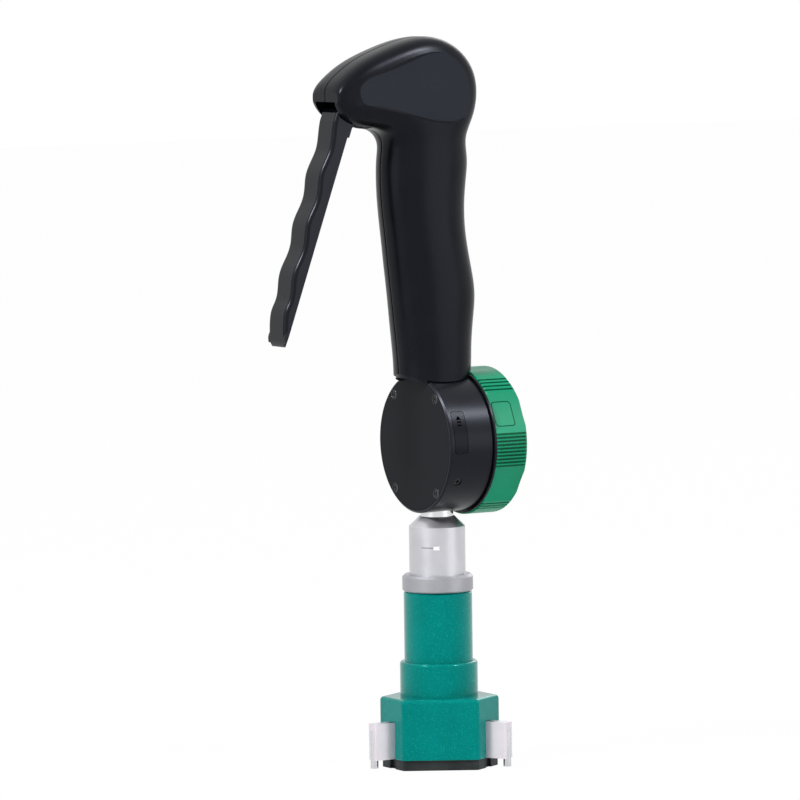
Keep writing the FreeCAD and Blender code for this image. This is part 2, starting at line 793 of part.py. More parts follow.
def bezel_ring():
    """Ring with finger scoops and ribs, without its port opening."""
    ring = turned_on_display(((bezel_back, bezel_bore_r), (bezel_back, bezel_r - 0.4), (bezel_back + 0.4, bezel_r),
                              (bezel_front - bezel_edge, bezel_r), (bezel_front, bezel_r - bezel_edge),
                              (bezel_front, bezel_lip_r + 1.6), (face_front + 0.8, bezel_lip_r),
                              (face_front, bezel_lip_r), (face_front, bezel_bore_r)))
    half_chord = bezel_r * math.sin(math.radians(scoop_half_angle))
    sagitta = bezel_r * (1 - math.cos(math.radians(scoop_half_angle)))
    hollow = scoop_depth - sagitta
    scoop_r = (half_chord ** 2 + hollow ** 2) / (2 * hollow)
    centre = bezel_r - scoop_depth + scoop_r
    tools = []
    for angle in scoop_angles:
        for mirrored in (angle, 180 - angle):
            scoop = Part.makeCylinder(scoop_r, bezel_front - bezel_back + 2, V(bezel_back - 1, -centre, display_z), X_AXIS)
            keep = rim_block(0, bezel_r - 5, bezel_r + 5, half_chord + 1, bezel_back - 1, bezel_front + 1)
            tools.append(about_display(scoop.common(keep), mirrored))
    grip_ribs = [rib_centre + (k - grip_rib_count / 2) * rib_pitch for k in range(grip_rib_count + 1)]
    for angle in list(grip_ribs) + list(lobe_rib_angles):
        for mirrored in (angle, 180 - angle):
            tools.append(rim_block(mirrored, bezel_r - rib_groove_depth, bezel_r + 1, rib_groove_w / 2,
                                   bezel_back - 1, bezel_front + 1))
    return ring.cut(Part.makeCompound(tools))


def port_block(gap):
    """Port cover's outline, or with a gap the opening round it."""
    return rounded_block(scoop_angles[0], bezel_r - scoop_depth - port_t - gap, bezel_r + 2, port_half_w + gap,
                         port_back - gap, port_front + gap, port_corner + gap)


def bezel():
    opening = rim_block(scoop_angles[0], bezel_bore_r - 2, bezel_r, port_socket_half_w - 0.6,
                        board_front + 0.3, board_front + port_socket_t - 0.3)
    return bezel_ring().cut(port_block(cover_gap)).cut(opening)


def port_cover():
    return port_block(0).common(bezel_ring())


def face_plate():
    plate = facing(bezel_bore_r - 0.1, face_back, face_front - 0.02)
    zc = display_z + window_rise
    sight_w = window_half_w - lens_lap
    sight_h = window_half_h - lens_lap
    tools = [box(face_back - 1, face_front + 1, -sight_w, sight_w, zc - sight_h, zc + sight_h),
             box(face_front - lens_t - 0.05, face_front + 1, -window_half_w - 0.05, window_half_w + 0.05,
                 zc - window_half_h - 0.05, zc + window_half_h + 0.05)]
    for y, z in button_places:
        tools.append(facing(button_r + cover_gap, face_back - 1, face_front + 1, y, z))
    return cut_all(plate, tools)


def lens():
    zc = display_z + window_rise
    return box(face_front - lens_t - 0.03, face_front - 0.05, -window_half_w, window_half_w,
               zc - window_half_h, zc + window_half_h)


def lcd_module():
    zc = display_z + window_rise
    return box(board_front, face_back - 0.25, -window_half_w + lcd_border / 2, window_half_w - lcd_border / 2,
               zc - window_half_h, zc + window_half_h)


def display_board():
    return facing(bezel_bore_r - 0.9, board_back, board_front)


def button(y, z):
    flange_front = face_back - 0.1
    cap = facing(button_r, flange_front - button_flange_t, face_front + button_rise, y, z)
    rims = [e for e in cap.Edges if abs(e.BoundBox.XMin - e.BoundBox.XMax) < 1e-6 and e.BoundBox.XMin > face_front]
    cap = cap.makeFillet(0.5, rims)
    return cap.fuse(facing(button_r + button_flange, flange_front - button_flange_t, flange_front, y, z)).removeSplitter()


def key_switches():
    top = face_back - 0.1 - button_flange_t - button_travel - 0.1
    switches = []
    for y, z in button_places:
        zc = display_z + z
        switches.append(box(board_front, top, y - switch_half, y + switch_half, zc - switch_half, zc + switch_half))
    return Part.makeCompound(switches)


def data_socket():
    reach = bezel_bore_r - 0.4
    return rim_block(scoop_angles[0], reach - port_socket_l, reach, port_socket_half_w,
                     board_front, board_front + port_socket_t)


# Handle

def section_half(section, inset, side):
    """Half a superellipse across the handle, from its trigger-side point round to its back point."""
    start = V(section[0], 0, housing_top + section[1])
    end = V(section[2], 0, housing_top + section[3])
    middle = (start + end) * 0.5
    along = (end - start) * 0.5
    along = along * ((along.Length - inset) / along.Length)
    half_w = section[4] - inset
    squareness = section[5]
    points = [middle - along]
    for k in range(1, section_points):
        turn = math.pi * k / section_points
        u = math.copysign(abs(math.cos(turn)) ** (2 / squareness), math.cos(turn))
        v = math.sin(turn) ** (2 / squareness)
        points.append(middle - along * u + Y_AXIS * (side * half_w * v))
    return points + [middle + along]


def handle_half(side, inset, sections):
    """Solid half of the handle on one side of the symmetry plane, its surface through every section."""
    surface = Part.BSplineSurface()
    surface.interpolate([section_half(section, inset, side) for section in sections])
    skin = surface.toShape()
    seams = []
    ends = []
    for edge in skin.Edges:
        middle = edge.valueAt((edge.FirstParameter + edge.LastParameter) / 2)
        if abs(middle.y) < 1e-6:
            seams.append(edge)
        else:
            ends.append(edge)
    faces = [skin]
    lines = []
    for edge in ends:
        line = Part.makeLine(edge.Vertexes[0].Point, edge.Vertexes[-1].Point)
        lines.append(line)
        faces.append(Part.Face(Part.Wire(Part.__sortEdges__([edge, line]))))
    faces.append(Part.Face(Part.Wire(Part.__sortEdges__(seams + lines))))
    shell = Part.Shell(faces)
    shell.sewShape()
    solid = Part.Solid(shell)
    if solid.Volume < 0:
        solid.reverse()
    return solid


def cavity_sections():
    """Sections of the hollow: open at the foot and closed before the nose."""
    foot = list(handle_sections[0])
    foot[1] -= 3.0
    foot[3] -= 3.0
    return [foot] + [section for section in handle_sections[1:] if section[4] >= nose_solid_w]


def foot_tools():
    """The drum and the display that the handle's foot straddles and must stay clear of."""
    drum = facing(housing_r + part_gap, -far_out, housing_front)
    display = facing(bezel_r + part_gap, housing_front - part_gap, far_out)
    return [drum, display]


def side_span(side, inner, outer):
    """Widths between two distances on one side of the symmetry plane, in rising order."""
    return sorted((side * inner, side * outer))


def grip_shell(side):
    """One half of the handle's moulding, with its ribs, bosses and bush seat."""
    outer = handle_half(side, 0, handle_sections)
    cavity = handle_half(side, shell_wall, cavity_sections())
    middle_skin = handle_half(side, shell_wall / 2, handle_sections[:-1])
    shell = outer.cut(cavity)
    near, far = side_span(side, 0, 30)
    features = [box(-60, 60, near, far, guide_z, guide_z + guide_h)]
    boss_near, boss_far = side_span(side, lever_w / 2 + 0.3, 30)
    features.append(crossing(pivot_boss_r, boss_near, boss_far, pivot_x, pivot_z))
    for x, rise in shell_screw_places:
        features.append(crossing(shell_boss_r, near, far, x, housing_top + rise))
    for feature in features:
        shell = shell.fuse(feature.common(middle_skin))
    tools = foot_tools()
    tools.append(upright(guide_bush_r, guide_z - 1, guide_z + guide_h + 1))
    pin_half = lever_w / 2 + 0.3 + pivot_boss_grip
    tools.append(crossing(pivot_pin_r, -pin_half, pin_half, pivot_x, pivot_z))
    tools.append(box(-60, pivot_x + slot_depth_x, -slot_half_w, slot_half_w,
                     housing_top + 80, pivot_z + slot_top_rise))
    for x, rise in shell_screw_places:
        z = housing_top + rise
        if side > 0:
            face_y = screw_face(x, z)
            tools.append(crossing(shell_screw_head_r + 0.15, face_y - shell_screw_head_h - 0.5, 30, x, z))
            tools.append(crossing(shell_screw_r, -1, face_y, x, z))
        else:
            tools.append(crossing(shell_screw_r, -shell_screw_grip, 1, x, z))
    tools.append(dish_tool(side))
    return cut_all(shell, tools)


def screw_face(x, z):
    """Width of the handle's far side at a screw."""
    line = Part.makeLine(V(x, 0.01, z), V(x, 40, z))
    return line.common(handle_half(1, 0, handle_sections)).BoundBox.YMax


def dish_outline(points, y):
    """Smooth closed outline in the side view."""
    curve = Part.BSplineCurve()
    curve.interpolate(Points=[V(x, y, housing_top + rise) for x, rise in points], PeriodicFlag=True)
    return Part.Wire([curve.toShape()])


def dish_tool(side):
    """Cutter for the dish in the side of the handle head, with a flat floor and a sloping edge."""
    floor_y = max(section[4] for section in handle_sections) - dish_depth
    floor = dish_outline(dish_floor, side * floor_y)
    rim = dish_outline(dish_rim, side * (floor_y + dish_ramp_h))
    return Part.makeLoft([floor, rim], True, True)


def grip_screws():
    screws = []
    for x, rise in shell_screw_places:
        z = housing_top + rise
        face_y = screw_face(x, z)
        place = V(x, face_y - 0.5, z)
        screws.append(slotted_screw(shell_screw_head_r, shell_screw_head_h, shell_screw_r, face_y - 0.5 + shell_screw_grip - 0.5, place,
                                    V(0, -1, 0)))
    return Part.makeCompound(screws)


def guide_bush():
    """Flanged bush that guides the rod and seats the spring."""
    bush = upright(guide_bush_r, guide_z, guide_z + guide_h)
    bush = bush.fuse(upright(guide_flange_r, guide_z - guide_flange_t, guide_z)).removeSplitter()
    return bush.cut(upright(rod_r + run_gap, guide_z - 5, guide_z + guide_h + 5))


def grip_adapter():
    """Metal foot that carries the handle on the display housing, with a lip under the front of the grip."""
    high = housing_top + adapter_rise
    cover_x = housing_back - seat_gap
    lip_r = housing_r + part_gap - seat_gap
    plug = fused([handle_half(side, shell_wall + seat_gap, cavity_sections()) for side in (-1, 1)])
    plug = plug.common(box(-far_out, far_out, -far_out, far_out, housing_top - 5.9, high))
    lip = fused([handle_half(side, adapter_lip_inset, cavity_sections()) for side in (-1, 1)])
    lip = lip.common(box(-far_out, cover_x, -far_out, far_out, housing_top - 8, high))
    lip = lip.common(facing(lip_r, -far_out, cover_x))
    spigot = upright(neck_thread_r, display_z + housing_bore_r - pad_depth - clamp_nut_h - clamp_thread_show,
                     housing_top + 1)
    body = fused([plug, lip])
    body = cut_all(body, [facing(lip_r - adapter_lip_t, -far_out, cover_x), facing(housing_r, cover_x, housing_front),
                          facing(bezel_r + part_gap, housing_front - part_gap, far_out)])
    body = fused([body, spigot])
    return cut_all(body, [upright(neck_throat_r, display_z, high), upright(neck_bore_r, high - bush_h, high + 1)])


def adapter_bush():
    high = housing_top + adapter_rise
    return upright(neck_bore_r, high - bush_h, high).cut(upright(rod_r + run_gap, high - bush_h - 1, high + 1))


def rod_spring():
    pitch = (spring_l - spring_wire) / spring_turns
    helix = Part.makeHelix(pitch, spring_l - spring_wire, spring_r)
    half = spring_wire / 2
    corners = [V(spring_r - half, 0, -half), V(spring_r + half, 0, -half), V(spring_r + half, 0, half),
               V(spring_r - half, 0, half)]
    section = Part.makePolygon(corners + corners[:1])
    coil = Part.Wire(helix.Edges).makePipeShell([section], True, True)
    coil.translate(V(0, 0, spring_low + half))
    return coil


def spring_collar():
    high = spring_low - seat_gap
    collar = upright(spring_collar_r, high - spring_collar_h, high)
    return collar.cut(upright(rod_r, high - spring_collar_h - 1, high + 1))


# Trigger

def lever_front_x(drop):
    """Depth of the lever's finger face at a distance below the pivot."""
    line = lever_front + (drop - lever_drop) * math.tan(math.radians(lever_slope))
    return -line - wave_height * math.cos(2 * math.pi * (drop - wave_first) / wave_pitch)


def lever_back_x(drop):
    return -lever_back - (drop - lever_back_drop) * math.tan(math.radians(lever_back_slope))


def at_pivot(x, drop):
    return V(pivot_x + x, 0, pivot_z - drop)


def trigger_lever():
    """Finger lever with waves, a channel towards the grip and a forked arm for the yoke."""
    steps = [lever_drop + (lever_foot - lever_drop) * k / wave_steps for k in range(wave_steps + 1)]
    front = [at_pivot(-lever_brow, lever_brow_drop)]
    front += [at_pivot(lever_front_x(drop), drop) for drop in steps]
    foot_x = lever_front_x(lever_foot) - 0.9
    front += [at_pivot(foot_x - 0.1, lever_foot + 5), at_pivot(foot_x - 0.2, lever_end - 4)]
    curve = Part.BSplineCurve()
    curve.interpolate(Points=front)
    tip = at_pivot(foot_x + 0.8, lever_end)
    back_low = at_pivot(lever_back_x(lever_end - 4.5), lever_end - 4.5)
    back_high = at_pivot(lever_back_x(lever_back_drop), lever_back_drop)
    loop = [curve.toShape(),
            Part.Arc(front[-1], at_pivot(foot_x + 0.1, lever_end - 1.2), tip).toShape(),
            Part.makeLine(tip, back_low),
            Part.makeLine(back_low, back_high),
            Part.makeLine(back_high, at_pivot(0, lever_hub_r)),
            Part.makeLine(at_pivot(0, lever_hub_r), at_pivot(0, -lever_hub_r)),
            Part.makeLine(at_pivot(0, -lever_hub_r), at_pivot(-lever_shoulder, lever_shoulder_drop)),
            Part.makeLine(at_pivot(-lever_shoulder, lever_shoulder_drop), front[0])]
    blade = Part.Face(Part.Wire(loop)).extrude(V(0, lever_w, 0))
    blade.translate(V(0, -lever_w / 2, 0))
    finger_edges = [e for e in blade.Edges if isinstance(e.Curve, Part.BSplineCurve) and e.Length > lever_foot / 2]
    blade = blade.makeFillet(lever_edge, finger_edges)
    hub = crossing(lever_hub_r, -lever_w / 2, lever_w / 2, pivot_x, pivot_z)
    mean_arm = (yoke_pin_x - pivot_x) * (1 + 1 / math.cos(half_angle)) / 2
    end_x = pivot_x + mean_arm * math.cos(half_angle)
    end_z = pivot_z - mean_arm * math.sin(half_angle)
    arm = side_slot(pivot_x, pivot_z, end_x, end_z, arm_half_h, -arm_w / 2, arm_w / 2)
    arm_end = crossing(arm_end_r, -arm_w / 2, arm_w / 2, end_x, end_z)
    lever = fused([blade, hub, arm, arm_end])
    channel_top = lever_core_r + 0.6
    slope = math.tan(math.radians(lever_slope))
    inner_foot = lever_end - 8
    channel = side_plate([(pivot_x + x, pivot_z - d) for x, d in (
        (-lever_front - (inner_foot - lever_drop) * slope + lever_wall, inner_foot),
        (-lever_front + lever_wall, lever_drop), (-lever_front + lever_wall + 0.4, channel_top),
        (channel_top, channel_top), (channel_top, -20), (60, -20), (60, inner_foot))],
        -lever_channel_w / 2, lever_channel_w / 2)
    relief_corners = [(pivot_x + x, pivot_z - d) for x, d in (
        (-lever_front - (lever_end + 4 - lever_drop) * slope + lever_pad_t, lever_end + 4),
        (-lever_front + lever_pad_t, lever_drop + 1.5), (-lever_front + lever_pad_t + 2.5, lever_drop - 0.5),
        (10, lever_drop - 0.5), (10, lever_end + 4))]
    tools = [channel]
    for y0, y1 in ((-lever_w, -lever_web_w / 2), (lever_web_w / 2, lever_w)):
        tools.append(side_plate(relief_corners, y0, y1))
    tools.append(crossing(pivot_pin_r + run_gap, -lever_w, lever_w, pivot_x, pivot_z))
    play = 0.35
    tools.append(side_slot(end_x - play * math.cos(half_angle), end_z + play * math.sin(half_angle),
                           end_x + play * math.cos(half_angle), end_z - play * math.sin(half_angle),
                           yoke_pin_r + run_gap, -lever_w, lever_w))
    return cut_all(lever, tools)


def trigger_pin():
    pin_half = lever_w / 2 + 0.3 + pivot_boss_grip
    return crossing(pivot_pin_r, -pin_half, pin_half, pivot_x, pivot_z)


def lift_yoke():
    """Yoke clamped on the rod, reaching forward into the lever's forked arm."""
    hub = upright(yoke_hub_r, yoke_pin_z - yoke_hub_h / 2, yoke_pin_z + yoke_hub_h / 2)
    arm = side_slot(yoke_pin_x, yoke_pin_z, 0, yoke_pin_z, yoke_half_h, -yoke_half_w, yoke_half_w)
    yoke = fused([hub, arm])
    yoke = yoke.cut(upright(rod_r, yoke_pin_z - 10, yoke_pin_z + 10))
    return yoke.cut(crossing(yoke_pin_r, -10, 10, yoke_pin_x, yoke_pin_z))


def yoke_pin():
    return crossing(yoke_pin_r, -arm_w / 2, arm_w / 2, yoke_pin_x, yoke_pin_z)


def rod_nut():
    low = yoke_pin_z + yoke_hub_h / 2
    corners = [V(rod_nut_r * math.cos(math.radians(a)), rod_nut_r * math.sin(math.radians(a)), low)
               for a in range(0, 360, 60)]
    nut = Part.Face(Part.makePolygon(corners + corners[:1])).extrude(V(0, 0, rod_nut_h))
    return nut.cut(upright(rod_r, low - 1, low + rod_nut_h + 1))


def build():
    """Every sub-part by node name."""
    nodes = {}
    nodes["base_plate"] = base_plate()
    nodes["base_plate_screws"] = base_plate_screws()
    nodes["head_body"] = head_body()
    nodes["head_bush"] = head_bush()
    for number, angle in enumerate(anvil_angles, 1):
        nodes["anvil_%d" % number] = anvil(angle)
        nodes["contact_pin_%d" % number] = contact_pin(angle)
        nodes["slide_pin_%d" % number] = slide_pin(angle)
    nodes["cam_spindle"] = cam_spindle()
    nodes["spindle_pin"] = spindle_pin()
    nodes["head_collar"] = head_collar()
    nodes["stem_sleeve"] = stem_sleeve()
    nodes["stem_tube"] = stem_tube()
    nodes["stem_bushes"] = stem_bushes()
    nodes["stem_nut"] = clamp_nut(neck_thread_r, display_z - housing_bore_r + pad_depth)
    nodes["pull_rod"] = pull_rod()
    nodes["display_housing"] = display_housing()
    nodes["back_cover"] = back_cover()
    nodes["back_cover_screws"] = back_cover_screws()
    nodes["side_screw"] = side_screw()
    nodes["battery_door"] = battery_door()
    nodes["battery"] = battery()
    nodes["battery_holder"] = battery_holder()
    nodes["retaining_ring"] = retaining_ring()
    nodes["sensor_board"] = sensor_board()
    nodes["scale_carrier"] = scale_carrier()
    nodes["display_base"] = display_base()
    nodes["bezel"] = bezel()
    nodes["port_cover"] = port_cover()
    nodes["face_plate"] = face_plate()
    nodes["lens"] = lens()
    nodes["lcd_module"] = lcd_module()
    nodes["display_board"] = display_board()
    nodes["key_switches"] = key_switches()
    nodes["data_socket"] = data_socket()
    for number, (y, z) in enumerate(button_places, 1):
        nodes["button_%d" % number] = button(y, z)
    nodes["grip_shell_left"] = grip_shell(-1)
    nodes["grip_shell_right"] = grip_shell(1)
    nodes["grip_screws"] = grip_screws()
    nodes["grip_adapter"] = grip_adapter()
    nodes["adapter_nut"] = clamp_nut(neck_thread_r, display_z + housing_bore_r - pad_depth - clamp_nut_h)
    nodes["adapter_bush"] = adapter_bush()
    nodes["guide_bush"] = guide_bush()
    nodes["rod_spring"] = rod_spring()
    nodes["spring_collar"] = spring_collar()
    nodes["trigger_lever"] = trigger_lever()
    nodes["trigger_pin"] = trigger_pin()
    nodes["lift_yoke"] = lift_yoke()
    nodes["yoke_pin"] = yoke_pin()
    nodes["rod_nut"] = rod_nut()
    return nodes


os.makedirs("parts", exist_ok=True)
for name, shape in build().items():
    shape.exportStep("parts/%s.step" % name)
    box_of = shape.BoundBox
    print("%-20s solids %d valid %s  x %.1f..%.1f  y %.1f..%.1f  z %.1f..%.1f" % (
        name, len(shape.Solids), shape.isValid(), box_of.XMin, box_of.XMax, box_of.YMin, box_of.YMax,
        box_of.ZMin, box_of.ZMax))
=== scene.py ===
"""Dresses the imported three-point bore gauge: camera, studio, finishes and the fine pieces."""

import math
from functools import partial

import bpy
import numpy as np
from mathutils import Matrix, Vector


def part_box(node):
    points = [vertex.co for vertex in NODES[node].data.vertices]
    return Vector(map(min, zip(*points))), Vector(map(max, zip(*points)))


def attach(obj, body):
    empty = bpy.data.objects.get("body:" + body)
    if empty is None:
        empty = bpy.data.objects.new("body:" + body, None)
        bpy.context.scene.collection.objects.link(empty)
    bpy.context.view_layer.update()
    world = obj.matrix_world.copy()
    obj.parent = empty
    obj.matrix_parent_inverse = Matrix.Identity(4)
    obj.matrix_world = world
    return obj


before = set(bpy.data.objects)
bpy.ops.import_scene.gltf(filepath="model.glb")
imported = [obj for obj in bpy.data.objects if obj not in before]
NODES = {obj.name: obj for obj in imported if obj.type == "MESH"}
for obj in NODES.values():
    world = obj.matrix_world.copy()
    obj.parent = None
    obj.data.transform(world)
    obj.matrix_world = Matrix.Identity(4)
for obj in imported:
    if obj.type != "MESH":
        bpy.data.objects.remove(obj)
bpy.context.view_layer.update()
MM = 0.001

# Camera, solved from the object's own edges, for a square image
IMAGE_PX = 800
FOCAL_PX = 5994.4
SENSOR_MM = 36.0
CAMERA_AZIMUTH = -30.84
CAMERA_ELEVATION = 4.68
CAMERA_ROLL = -0.81
CAMERA_DISTANCE = 2.4569
CAMERA_REACH = 20
AIM_SIDEWAYS = -0.01442
AIM_HEIGHT = 0.15071

# Studio. A lamp has a name, a place, a size and a power.
WHITE = (1, 1, 1, 1)
LIGHT_LEVEL = 0.13
FLOOR_WHITE = 0.985
FLOOR_COLOUR = (0.86, 0.86, 0.86, 1)
FLOOR_HALF = 6.0
LAMP_TARGET = (0, 0, 0.15)
LAMPS = (
    ("key_left", (-1.35, -0.12, 1.4), 0.34, 33),
    ("key_right", (0.75, -1.15, 1.45), 0.34, 26),
    ("low_left", (-1.5, -0.4, 0.15), 0.9, 2.5),
    ("low_right", (0.75, -1.25, 0.1), 0.9, 3.5),
    ("rear_right", (1.2, 1.0, 0.8), 0.8, 4),
)

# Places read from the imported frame
HOUSING_LOW, HOUSING_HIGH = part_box("display_housing")
DISPLAY_Z = (HOUSING_LOW[2] + HOUSING_HIGH[2]) / 2
HOUSING_R = (HOUSING_HIGH[1] - HOUSING_LOW[1]) / 2
DOOR_LOW, DOOR_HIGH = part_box("battery_door")
SLEEVE_LOW, SLEEVE_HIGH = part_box("stem_sleeve")
SLEEVE_R = (SLEEVE_HIGH[0] - SLEEVE_LOW[0]) / 2
COLLAR_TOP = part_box("head_collar")[1][2]

# Battery door and port cover on the display's rim
DOOR_ANGLE = math.radians(12.75)
DOOR_HALF_W = 0.0088
DOOR_CORNER = 0.0014
PORT_ANGLE = math.radians(26.0)
PORT_HALF_W = 0.0053
PORT_CORNER = 0.0015
PORT_RADIUS = 0.0287
GROOVE_W = 0.0002

# Centre, pitch, offset and half span of each group of ribs, in degrees
RIB_GROUPS = ((-4.0, 2.8, 0.5, 13.4), (53.0, 4.0, 0.5, 7.0), (-59.5, 4.0, 0.0, 5.0))

# Dish in the handle's head. The corners lie just outside its floor in the side view, clockwise,
# in millimetres along X and above the display housing.
DISH_FLOOR_Y = 0.0125
DISH_TOLERANCE = 0.0001
DISH_CORNERS = ((-42.0, 112.2), (-42.3, 118.6), (-28.0, 126.0), (-12.6, 131.3), (-1.0, 133.3),
                (7.5, 128.6), (12.0, 121.0), (12.3, 106.5), (7.0, 103.6), (-3.0, 102.6),
                (-12.0, 103.3), (-35.0, 109.0))

# Edges round the back cover's screws. They are sunk by a share of the tube's radius.
SEAT_Y = 0.0162
SEAT_RISE = 0.0193
SEAT_R = 0.00188
SEAT_TUBE = 0.0001
SEAT_SUNK = 0.3
SEAT_STEPS = (40, 10)

# Marks, in millimetres
MARK_LIFT = 0.03
ARROW_LOW = 5.2
ARROW_H = 1.7
ARROW_HALF_W = 1.25
ARROW_TIP_W = 0.12
BAR_LOWS = (3.9, 2.5)
BAR_H = 0.7
BAR_HALF_W = 0.95
BAR_STEPS = 3
INDEX_HEIGHT = 11.5
INDEX_LINE_H = 0.35
INDEX_BLOCK_H = 1.4
INDEX_START = -6.9
INDEX_BLOCK = -1.6
INDEX_END = 1.1
INDEX_LINE_STEPS = 12
INDEX_BLOCK_STEPS = 9
NOTCH_TIP = 0.05

# Reading on the screen, in millimetres. The gap is a share of half a stroke.
READING = "0000"
READING_POINT = 1
DIGIT_W = 3.6
DIGIT_H = 8.0
DIGIT_PITCH = 6.2
DIGIT_STROKE = 0.95
DIGIT_GAP = 1.15

# Ends of the seven bars of a digit, in digit widths and half heights
BAR_ENDS = {"a": ((0, 2), (1, 2)), "b": ((1, 1), (1, 2)), "c": ((1, 0), (1, 1)), "d": ((0, 0), (1, 0)),
            "e": ((0, 0), (0, 1)), "f": ((0, 1), (0, 2)), "g": ((0, 1), (1, 1))}
BARS_OF_DIGIT = {"0": "abcdef", "1": "bc", "2": "abged", "3": "abgcd", "4": "fgbc",
                 "5": "afgcd", "6": "afgedc", "7": "abc", "8": "abcdefg", "9": "abcdfg"}

# Soft edges of the effects
CLOUD_RANGE = (0.32, 0.68)
SEAM_EDGE = 1.6
OUTLINE_EDGE = 1.5
RIB_EDGE = 1.4

FLOAT = "NodeSocketFloat"
COLOUR = "NodeSocketColor"
VECTOR = "NodeSocketVector"


# Nodes

def add_node(tree, kind, values=None, **settings):
    """New node with its settings, and with values on its inputs."""
    node = tree.nodes.new(kind)
    for key, value in settings.items():
        setattr(node, key, value)
    for key, value in (values or {}).items():
        node.inputs[key].default_value = value
    return node


def math_node(tree, operation, first, second=None, clamp=False):
    """Math node whose inputs are numbers or outputs of other nodes."""
    node = add_node(tree, "ShaderNodeMath", operation=operation, use_clamp=clamp)
    for socket, value in zip(node.inputs, (first, second)):
        if value is None:
            continue
        if isinstance(value, (int, float)):
            socket.default_value = value
        else:
            tree.links.new(value, socket)
    return node.outputs[0]


def object_position(tree):
    """Place on the piece, in object coordinates."""
    return add_node(tree, "ShaderNodeTexCoord").outputs["Object"]


def split_position(tree):
    """X, Y and Z of the place on the piece."""
    split = add_node(tree, "ShaderNodeSeparateXYZ")
    tree.links.new(object_position(tree), split.inputs[0])
    return split.outputs


# Camera and studio

def place_camera():
    """Puts the camera at the photograph's distance, height and roll."""
    az, el, roll = (math.radians(a) for a in (CAMERA_AZIMUTH, CAMERA_ELEVATION, CAMERA_ROLL))
    back = Vector((math.sin(az) * math.cos(el), -math.cos(az) * math.cos(el), math.sin(el)))
    right = Vector((math.cos(az), math.sin(az), 0))
    up = back.cross(right)
    position = right * AIM_SIDEWAYS + Vector((0, 0, AIM_HEIGHT)) + back * CAMERA_DISTANCE
    turned_right = right * math.cos(roll) + up * math.sin(roll)
    turned_up = up * math.cos(roll) - right * math.sin(roll)
    turned = Matrix((turned_right, turned_up, back)).transposed()
    data = bpy.data.cameras.new("camera")
    data.sensor_width = SENSOR_MM
    data.lens = FOCAL_PX * SENSOR_MM / IMAGE_PX
    data.clip_end = CAMERA_REACH
    camera = bpy.data.objects.new("camera", data)
    bpy.context.collection.objects.link(camera)
    camera.matrix_world = Matrix.Translation(position) @ turned.to_4x4()
    bpy.context.scene.camera = camera


def area_light(name, position, size, power):
    """Soft square lamp that looks at the middle of the object."""
    data = bpy.data.lights.new(name, "AREA")
    data.size = size
    data.energy = power
    lamp = bpy.data.objects.new(name, data)
    bpy.context.collection.objects.link(lamp)
    lamp.location = position
    aim = Vector(LAMP_TARGET) - Vector(position)
    lamp.rotation_euler = aim.to_track_quat("-Z", "Y").to_euler()


def background_rays(tree):
    """1 for camera, glossy and transmission rays, which show the background, and 0 for the others."""
    path = add_node(tree, "ShaderNodeLightPath")
    seen = path.outputs["Is Camera Ray"]
    for ray in ("Is Glossy Ray", "Is Transmission Ray"):
        seen = math_node(tree, "MAXIMUM", seen, path.outputs[ray])
    return seen


def build_world():
    """White all round where it is seen, and a low even light on the object."""
    world = bpy.data.worlds.new("studio")
    bpy.context.scene.world = world
    world.use_nodes = True
    tree = world.node_tree
    back = tree.nodes["Background"]
    back.inputs["Color"].default_value = WHITE
    level = add_node(tree, "ShaderNodeMix", {2: LIGHT_LEVEL, 3: 1.0})
    tree.links.new(background_rays(tree), level.inputs[0])
    tree.links.new(level.outputs[0], back.inputs["Strength"])


def build_floor():
    """Pale floor, nearly as white as the world where it is seen, with a trace of the object's shadow."""
    half = FLOOR_HALF
    corners = [(-half, -half, 0), (half, -half, 0), (half, half, 0), (-half, half, 0)]
    mesh = bpy.data.meshes.new("floor")
    mesh.from_pydata(corners, [], [(0, 1, 2, 3)])
    floor = bpy.data.objects.new("floor", mesh)
    bpy.context.collection.objects.link(floor)
    pale = bpy.data.materials.new("pale_floor")
    pale.use_nodes = True
    tree = pale.node_tree
    tree.nodes.clear()
    out = add_node(tree, "ShaderNodeOutputMaterial")
    matt = add_node(tree, "ShaderNodeBsdfDiffuse", {"Color": FLOOR_COLOUR})
    glow = add_node(tree, "ShaderNodeEmission", {"Color": WHITE})
    mix = add_node(tree, "ShaderNodeMixShader")
    tree.links.new(math_node(tree, "MULTIPLY", background_rays(tree), FLOOR_WHITE), mix.inputs[0])
    tree.links.new(matt.outputs[0], mix.inputs[1])
    tree.links.new(glow.outputs[0], mix.inputs[2])
    tree.links.new(mix.outputs[0], out.inputs["Surface"])
    mesh.materials.append(pale)


def build_studio():
    """World, floor and lamps."""
    bpy.context.scene.view_settings.view_transform = "Standard"
    build_world()
    build_floor()
    for name, place, size, power in LAMPS:
        area_light(name, place, size, power)


# Shared effects

def new_group(name, inputs, outputs):
    """Shader node group with named inputs (name, type, value) and outputs (name, type)."""
    group = bpy.data.node_groups.new(name, "ShaderNodeTree")
    for label, kind, value in inputs:
        socket = group.interface.new_socket(label, in_out="INPUT", socket_type=kind)
        socket.default_value = value
    for label, kind in outputs:
        group.interface.new_socket(label, in_out="OUTPUT", socket_type=kind)
    return group, group.nodes.new("NodeGroupInput").outputs, group.nodes.new("NodeGroupOutput").inputs


def use_group(tree, group, values=None):
    """Places a group in a material, with its own values."""
    return add_node(tree, "ShaderNodeGroup", values, node_tree=group)


